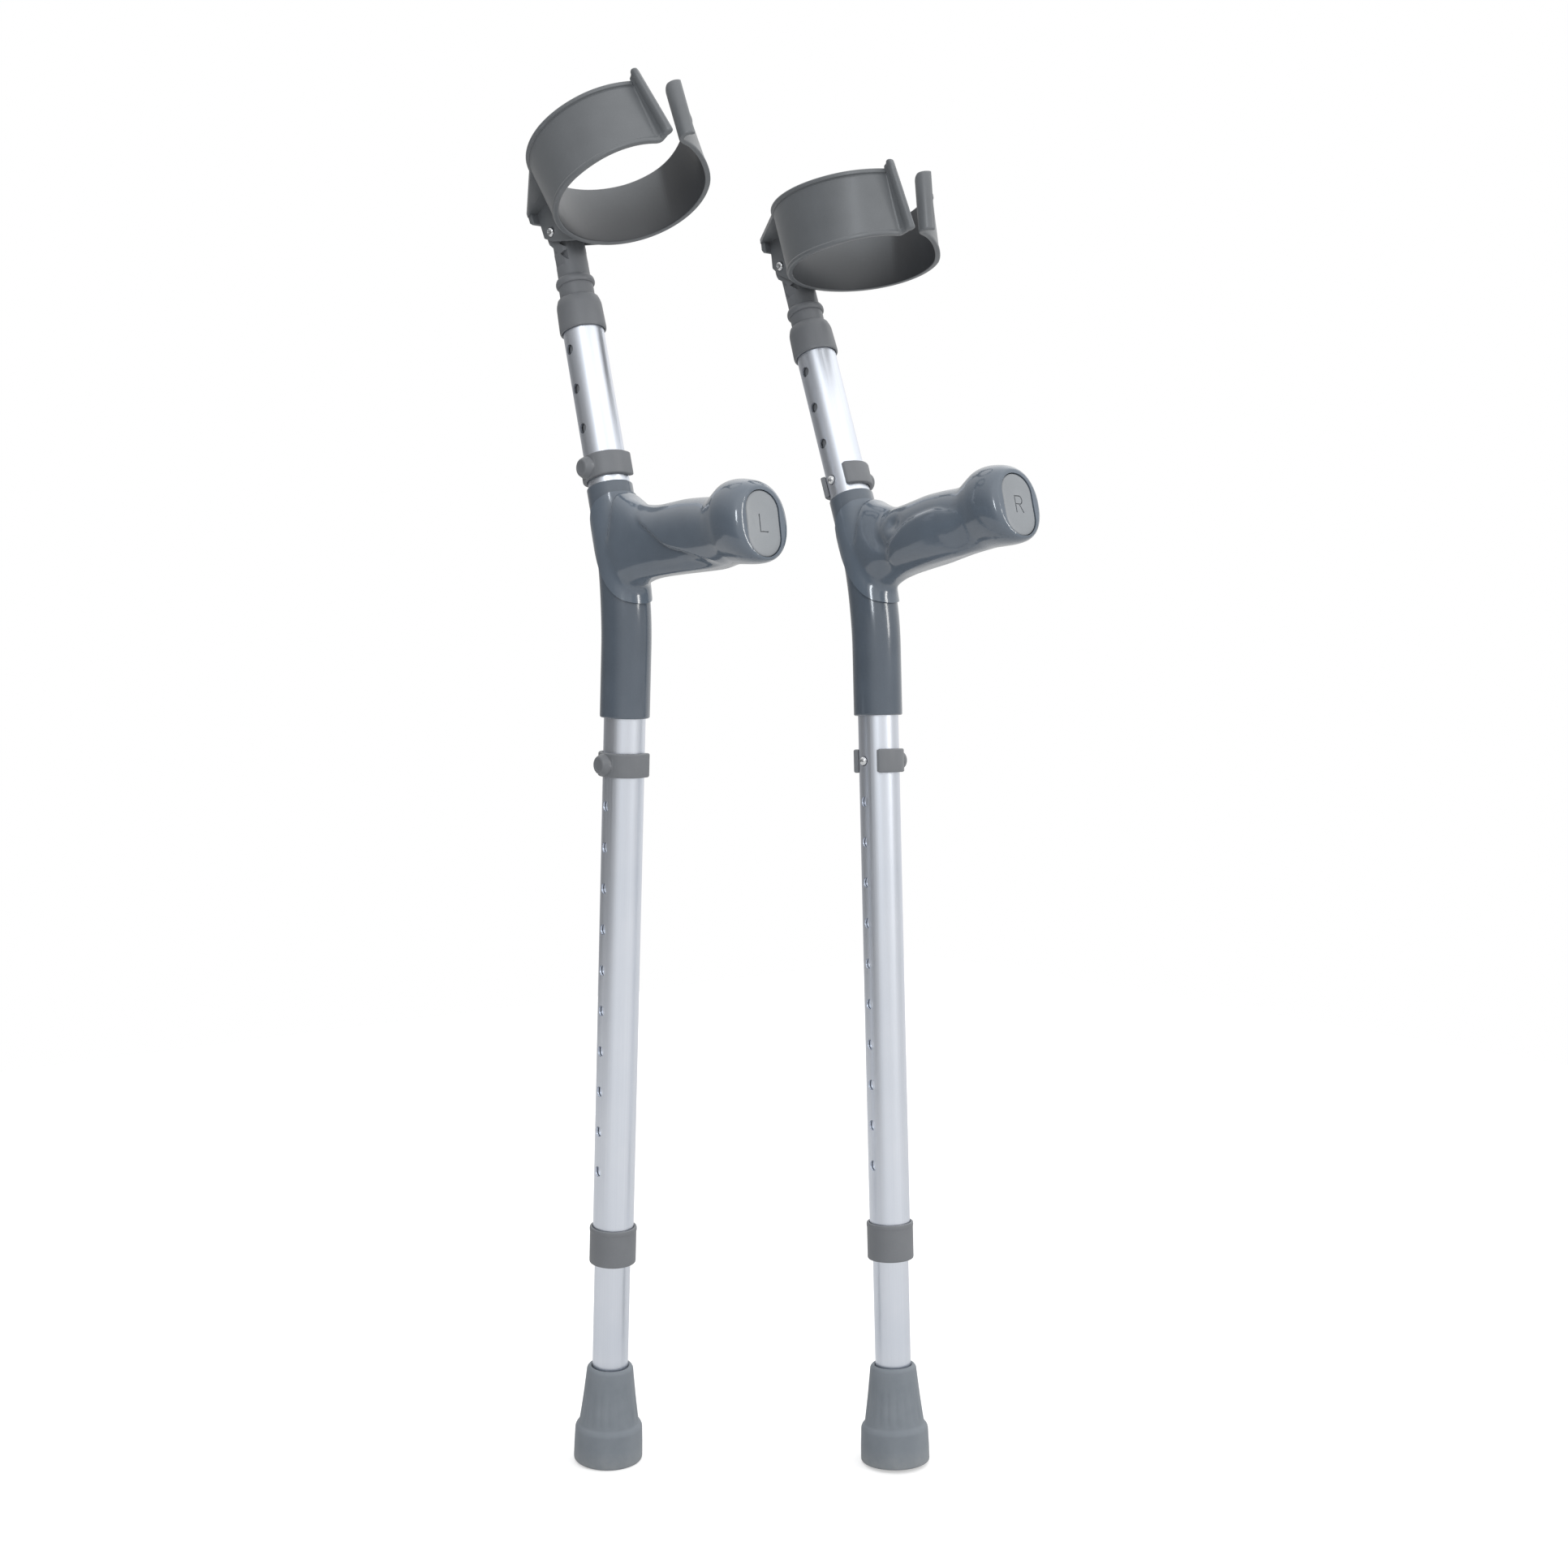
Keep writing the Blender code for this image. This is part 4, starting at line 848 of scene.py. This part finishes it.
def mark_painted_shade(cuff):
    """Store how far each point belongs to the band's inner face, where its colour is darkened as
    painted shade.
    """
    shares = []
    for vertex in cuff.data.vertices:
        radial = Vector((vertex.co.x, vertex.co.y + CUFF_CENTRE, 0.0)).normalized()
        near_band = smooth(CUFF_R + 4.5 * MM - math.hypot(vertex.co.x, vertex.co.y + CUFF_CENTRE),
                           0.0, 1.0 * MM)
        shares.append(smooth(-vertex.normal.dot(radial), 0.5, 0.95) * near_band)
    cuff.data.attributes.new(SHADE_INSIDE, "FLOAT", "POINT").data.foreach_set("value", shares)
    return cuff


def fine_cuff():
    near_end, far_end = math.radians(-17), math.radians(12)
    twist_most, lift_most, above = math.radians(6.5), 6 * MM, 3 * MM
    near_reach = [0.9 * MM * k for k in range(1, 10)]
    near = lip_path(near_end, 1, 1.6 * MM, 12, math.radians(70), near_reach)
    far = lip_path(far_end, -1, 2.8 * MM, 22, math.radians(150),
                   [0.6 * MM * k for k in range(1, 5)])
    band_steps = 150
    sweep = 2 * math.pi - (far_end - near_end)
    stations = []
    for i, (at, out) in enumerate(reversed(near)):
        stations.append((at, out, 1.0 - 0.5 * i / len(near), "near", i))
    for i in range(band_steps + 1):
        turn = sweep * i / band_steps
        outward = Vector((math.sin(near_end - turn), -math.cos(near_end - turn)))
        stations.append((outward * CUFF_R, outward, 0.5 * (1 - smooth(turn, 0, math.radians(40))),
                         "band", i))
    stations += [(at, out, 0.0, "far", i) for i, (at, out) in enumerate(far)]
    rod_steps = 7
    rings = []
    for at, out, twist, part, i in stations:
        inside, wall, rim = 0.0, CUFF_WALL, 1.0 * MM
        top, bottom = CUFF_TOP, CUFF_BOTTOM
        corner = 1.0
        if part == "near":
            share = (i - 0.5 * rod_steps) / (0.5 * rod_steps)
            swell = math.sqrt(max(0.0, 1 - share * share)) if i < rod_steps else 0.0
            thick = max(4.9 * MM * swell, CUFF_WALL if share > 0 else 0.9 * MM)
            middle = CUFF_WALL / 2
            inside, wall = middle - thick / 2, middle + thick / 2
            rim = 1.0 * MM * smooth(i, rod_steps, rod_steps + 6)
            along = 1 - smooth(i, 2, len(near) - 4)
            top += above * along - 0.8 * MM * (1 - swell if share < 0 else 0)
            bottom += NEAR_RISE + 1.5 * MM * along + 0.8 * MM * (1 - swell if share < 0 else 0)
            corner = 2.2 if i < rod_steps else 1.0
        elif part == "far":
            rim = 0.0
            top -= 0.6 * MM * smooth(i, 0, 8) + FAR_DIP * (1 - smooth(i, 0, 12))
            bottom += lift_most
            rest = len(far) - 1 - i
            pinch = 0.8 * MM * (1 - smooth(rest, 0, 2))
            inside, wall = pinch, CUFF_WALL - pinch
            corner = 1.4
        else:
            rise = smooth(i, band_steps - 24, band_steps)
            top -= FAR_DIP * smooth(i, band_steps - 28, band_steps - 9)
            bottom += lift_most * rise + NEAR_RISE * (1 - smooth(i, 0, 28))
            rim *= 1 - rise
        groove = 0.3 * rim
        marks = [(inside, bottom, corner), (inside, top, corner), (wall + rim, top, corner),
                 (wall + rim, top - 2.5 * MM, 0.5), (wall - groove, top - 2.8 * MM, 0.3),
                 (wall, top - 3.8 * MM, 0.7),
                 (wall, bottom + 2.7 * MM, 0.7), (wall + rim * 0.6, bottom + 2.1 * MM, 0.7),
                 (wall + rim * 0.6, bottom, corner)]
        ring = []
        for o, z in rounded(marks, 0.95 * MM, 4):
            wider = 1 + band_swell(at.x, at.y, z) / CUFF_R
            x, y = (at.x + out.x * o) * wider, (at.y + out.y * o) * wider
            turn = twist_most * twist * z / CUFF_TOP
            ring.append(Vector((x * math.cos(turn) + y * math.sin(turn),
                                y * math.cos(turn) - x * math.sin(turn) - CUFF_CENTRE, z)))
        rings.append(ring)
    band = loft(rings)

    outer = CUFF_R + CUFF_CONE + BACK_SWELL[1] + 0.2 * MM
    corner_x, corner_y = 16 * MM, 12.5 * MM
    reach = math.hypot(corner_x, corner_y + CUFF_CENTRE)
    tangent = math.acos(outer / reach) + math.atan2(corner_x, corner_y + CUFF_CENTRE)
    web = [(-corner_x, corner_y), (corner_x, corner_y)]
    for i in range(41):
        a = tangent - 2 * tangent * i / 40
        web.append((outer * math.sin(a), outer * math.cos(a) - CUFF_CENTRE))
    flange = bevelled(prism_z(web, CUFF_TOP - 3 * MM, CUFF_TOP - 0.15 * MM), 0.8 * MM)
    band = boolean(band, flange, "UNION")
    back = corner_y
    lip = prism_x([(back - 0.1 * MM, CUFF_TOP - 0.6 * MM), (back - 0.1 * MM, 14 * MM),
                   (back - 2 * MM, 11.5 * MM), (back - 4 * MM, 11.5 * MM),
                   (back - 4 * MM, CUFF_TOP - 0.6 * MM)], -15.8 * MM, 15.8 * MM)
    band = boolean(band, bevelled(lip, 0.5 * MM), "UNION")
    rear = -(CUFF_CENTRE - CUFF_R - CUFF_WALL * 0.5)
    rear_top, rear_bottom = rear + CUFF_CONE + BACK_SWELL[1], rear - CUFF_CONE + BACK_SWELL[0]
    cheek = [(back - 1 * MM, CUFF_TOP - 1.2 * MM), (8.8 * MM, 10 * MM), (8.8 * MM, 1.2 * MM),
             (2.4 * MM, -5.2 * MM), (rear_bottom + 1 * MM, CUFF_BOTTOM + 1 * MM),
             (rear_bottom, CUFF_BOTTOM + 3.2 * MM), (rear_top, CUFF_TOP - 1.2 * MM)]
    for side in (-1, 1):
        plate = prism_x(cheek, side * CHEEK_INNER_X, side * CHEEK_OUTER_X)
        band = boolean(band, bevelled(plate, 0.6 * MM), "UNION")
    return mark_painted_shade(boolean(band, rod_x(RIVET_R + GAP, -20 * MM, 20 * MM), "DIFFERENCE"))


def fine_rivet():
    face = CHEEK_OUTER_X + GAP
    dome = []
    for k in range(9):
        a = math.pi / 2 * k / 8
        dome.append((1.9 * MM * math.sin(a), 3.05 * MM * math.cos(a) ** 0.8 if k < 8 else 0.0))
    dome = [(h, r) for h, r in dome if r > 1.5 * MM]
    dome += [(1.75 * MM, 1.35 * MM), (0.9 * MM, 1.1 * MM), (0.7 * MM, 0.4 * MM)]
    stations = [(-face - h, r) for h, r in reversed(dome)]
    stations += [(-face, RIVET_R), (face, RIVET_R)]
    stations += [(face + h, r) for h, r in dome]
    return turned_x(stations, 48)


# ------------------------------------------------------------------ assembly

def copy_of(piece):
    made = piece.copy()
    made.data = piece.data.copy()
    bpy.context.scene.collection.objects.link(made)
    return made


BUILDERS = (
    ("ferrule", fine_ferrule, "leg", "leg", "tip_rubber"),
    ("ferrule_washer", fine_washer, "leg", "leg", "steel"),
    ("leg_tube", fine_leg_tube, "leg", "leg", "aluminium"),
    ("leg_collar", fine_leg_collar, "leg", "frame", "grey_plastic"),
    ("main_tube", fine_main_tube, "leg", "frame", "aluminium"),
    ("leg_clip", fine_clip, "leg_clip", "leg_lock", "grey_plastic"),
    ("leg_clip_pin", fine_pin, "leg_clip", "leg_lock", "steel"),
    ("grip_core", fine_grip_core, "leg", "frame", "grip_core_plastic"),
    ("grip_cover", fine_grip_cover, "leg", "frame", "grip_cover_plastic"),
    ("grip_pin", fine_grip_pin, "leg", "frame", "steel"),
    ("forearm_clip", fine_clip, "arm_clip", "forearm_lock", "grey_plastic"),
    ("forearm_clip_pin", fine_pin, "arm_clip", "forearm_lock", "steel"),
    ("forearm_collar", fine_forearm_collar, "arm", "frame", "grey_plastic"),
    ("cuff_stem", fine_stem, "arm", "stem", "grey_plastic"),
    ("cuff", fine_cuff, "cuff", "cuff", "cuff_plastic"),
    ("cuff_rivet", fine_rivet, "cuff", "cuff", "steel"),
)
UNMIRRORED = ("cuff", "cuff_rivet", "cuff_stem")


def frames_of(spec):
    up = Vector((spec["lean_x"], spec["lean_y"], 1.0)).normalized()
    lift = TREAD_R * math.sqrt(1 - up.z ** 2)
    lean = Vector((0, 0, 1)).rotation_difference(up).to_matrix().to_4x4()
    leg = Matrix.Translation((spec["x"], spec["y"], lift)) @ lean
    leg = leg @ Matrix.Rotation(spec["turn"], 4, "Z")
    arm = leg @ slide_frame()
    pivot = Matrix.Translation((0, 0, PIVOT_S)) @ Matrix.Rotation(-spec["tip"], 4, "X")
    return dict(leg=leg, arm=arm, leg_clip=leg @ Matrix.Translation((0, 0, LEG_CLIP_Z)),
                arm_clip=arm @ Matrix.Translation((0, 0, ARM_HOLE)), cuff=arm @ pivot)


made_once = {}
for _, build, *_ in BUILDERS:
    if build not in made_once:
        made_once[build] = build()
for spec in CRUTCHES:
    frames = frames_of(spec)
    for piece_name, build, where, body, slot_name in BUILDERS:
        hand = 1 if piece_name in UNMIRRORED else spec["hand"]
        node = spec["name"] + "_" + piece_name
        place(copy_of(made_once[build]), node, slot_name, frames[where], spec["name"] + "_" + body,
              hand)
    place(fine_cap(spec["name"][0].upper()), spec["name"] + "_grip_end_cap", "grip_cap_plastic",
          frames["leg"], spec["name"] + "_frame")
for source in made_once.values():
    bpy.data.objects.remove(source)


# ------------------------------------------------------------------ floor, light and camera

def floor():
    """Pale floor, bright enough to run into the white behind it."""
    n = Nodes("floor")
    n.coords = n.tree.nodes.new("ShaderNodeTexCoord").outputs["Object"]
    n.set("Base Color", (FLOOR_PALE, FLOOR_PALE, FLOOR_PALE, 1.0))
    n.set("Roughness", n.ramp(n.noise(3.0, 2.0), 0.3, 0.7, 0.75, 0.85))
    n.set("Specular IOR Level", 0.2)
    n.set("Emission Color", (1.0, 1.0, 1.0, 1.0))
    eye = n.add("ShaderNodeLightPath").outputs["Is Camera Ray"]
    n.set("Emission Strength", n.ramp(eye, 0.0, 1.0, 0.0, FLOOR_GLOW))
    half = FLOOR_HALF
    plane = new_object([(-half, -half, 0), (half, -half, 0), (half, half, 0), (-half, half, 0)],
                       [(0, 1, 2, 3)], "floor")
    if plane.data.polygons[0].normal.z < 0:
        plane.data.flip_normals()
    plane.data.materials.append(n.mat)


def soft_light(name, location, target, size, power, colour):
    data = bpy.data.lights.new(name, "AREA")
    data.shape = "RECTANGLE"
    data.size, data.size_y = size
    data.energy, data.color = power, colour
    lamp = bpy.data.objects.new(name, data)
    lamp.location = location
    aim = Vector(target) - Vector(location)
    lamp.rotation_mode = "QUATERNION"
    lamp.rotation_quaternion = aim.to_track_quat("-Z", "Y")
    bpy.context.scene.collection.objects.link(lamp)


def world():
    """White backdrop to the eye; to everything else a soft studio, brighter above and in front."""
    made = bpy.data.worlds.new("studio")
    made.use_nodes = True
    tree = made.node_tree
    toward = tree.nodes.new("ShaderNodeTexCoord").outputs["Generated"]
    total = None
    for direction, start, strength in SKY:
        facing = tree.nodes.new("ShaderNodeVectorMath")
        facing.operation = "DOT_PRODUCT"
        facing.inputs[1].default_value = Vector(direction).normalized()
        tree.links.new(toward, facing.inputs[0])
        part = tree.nodes.new("ShaderNodeMapRange")
        part.interpolation_type = "SMOOTHSTEP"
        part.inputs["From Min"].default_value = start
        part.inputs["To Max"].default_value = strength
        tree.links.new(facing.outputs["Value"], part.inputs["Value"])
        add = tree.nodes.new("ShaderNodeMath")
        add.inputs[1].default_value = SKY_BASE
        tree.links.new(part.outputs[0], add.inputs[0])
        if total:
            tree.links.new(total, add.inputs[1])
        total = add.outputs[0]
    eye = tree.nodes.new("ShaderNodeLightPath").outputs["Is Camera Ray"]
    level = tree.nodes.new("ShaderNodeMix")
    tree.links.new(eye, level.inputs[0])
    tree.links.new(total, level.inputs[2])
    level.inputs[3].default_value = 1.0
    tree.links.new(level.outputs[0], tree.nodes["Background"].inputs["Strength"])
    tree.nodes["Background"].inputs["Color"].default_value = (1.0, 1.0, 1.0, 1.0)
    bpy.context.scene.world = made


def camera():
    data = bpy.data.cameras.new("camera")
    data.sensor_width = 36.0
    data.lens = CAMERA_LENS
    data.clip_start = 0.02
    lens = bpy.data.objects.new("camera", data)
    bpy.context.scene.collection.objects.link(lens)
    left = CRUTCHES[0]
    x, y, z = CAMERA_FROM_LEFT
    lens.location = (left["x"] + x, left["y"] + y, z)
    aim = Vector(CAMERA_HEADING).normalized()
    aim.z = -math.tan(CAMERA_DOWN)
    lens.rotation_mode = "QUATERNION"
    lens.rotation_quaternion = aim.to_track_quat("-Z", "Y")
    bpy.context.scene.camera = lens


CAMERA_FROM_LEFT = (-0.6861, -1.0356, 0.5043)      # from the foot of the left crutch
CAMERA_HEADING, CAMERA_DOWN = (0.6239, 0.7815, 0.0), math.radians(3.8)
CAMERA_LENS = 46.58
# Radiance of the studio by direction: (toward, where it starts as a cosine, strength)
SKY_BASE = 0.14
SKY = (((0.0, 0.0, 1.0), 0.0, 1.10), ((0.95, -0.25, 0.1), 0.0, 0.50),
       ((-0.4, -0.9, 0.1), 0.3, 0.60), ((0.7, 0.7, 0.1), 0.2, 0.30))
FLOOR_HALF, FLOOR_PALE = 1.5, 0.60
FLOOR_GLOW = 0.46      # seen by the camera only
AIM_POINT = (0, 0, 0.5)

floor()
world()
camera()
soft_light("window", (-1.5, -1.3, 1.35), AIM_POINT, (0.28, 0.5), 7, (0.90, 0.95, 1.0))
soft_light("right", (0.9, -2.0, 1.2), AIM_POINT, (0.35, 0.7), 9, (1.0, 0.98, 0.95))
bpy.context.scene.view_settings.view_transform = "Standard"
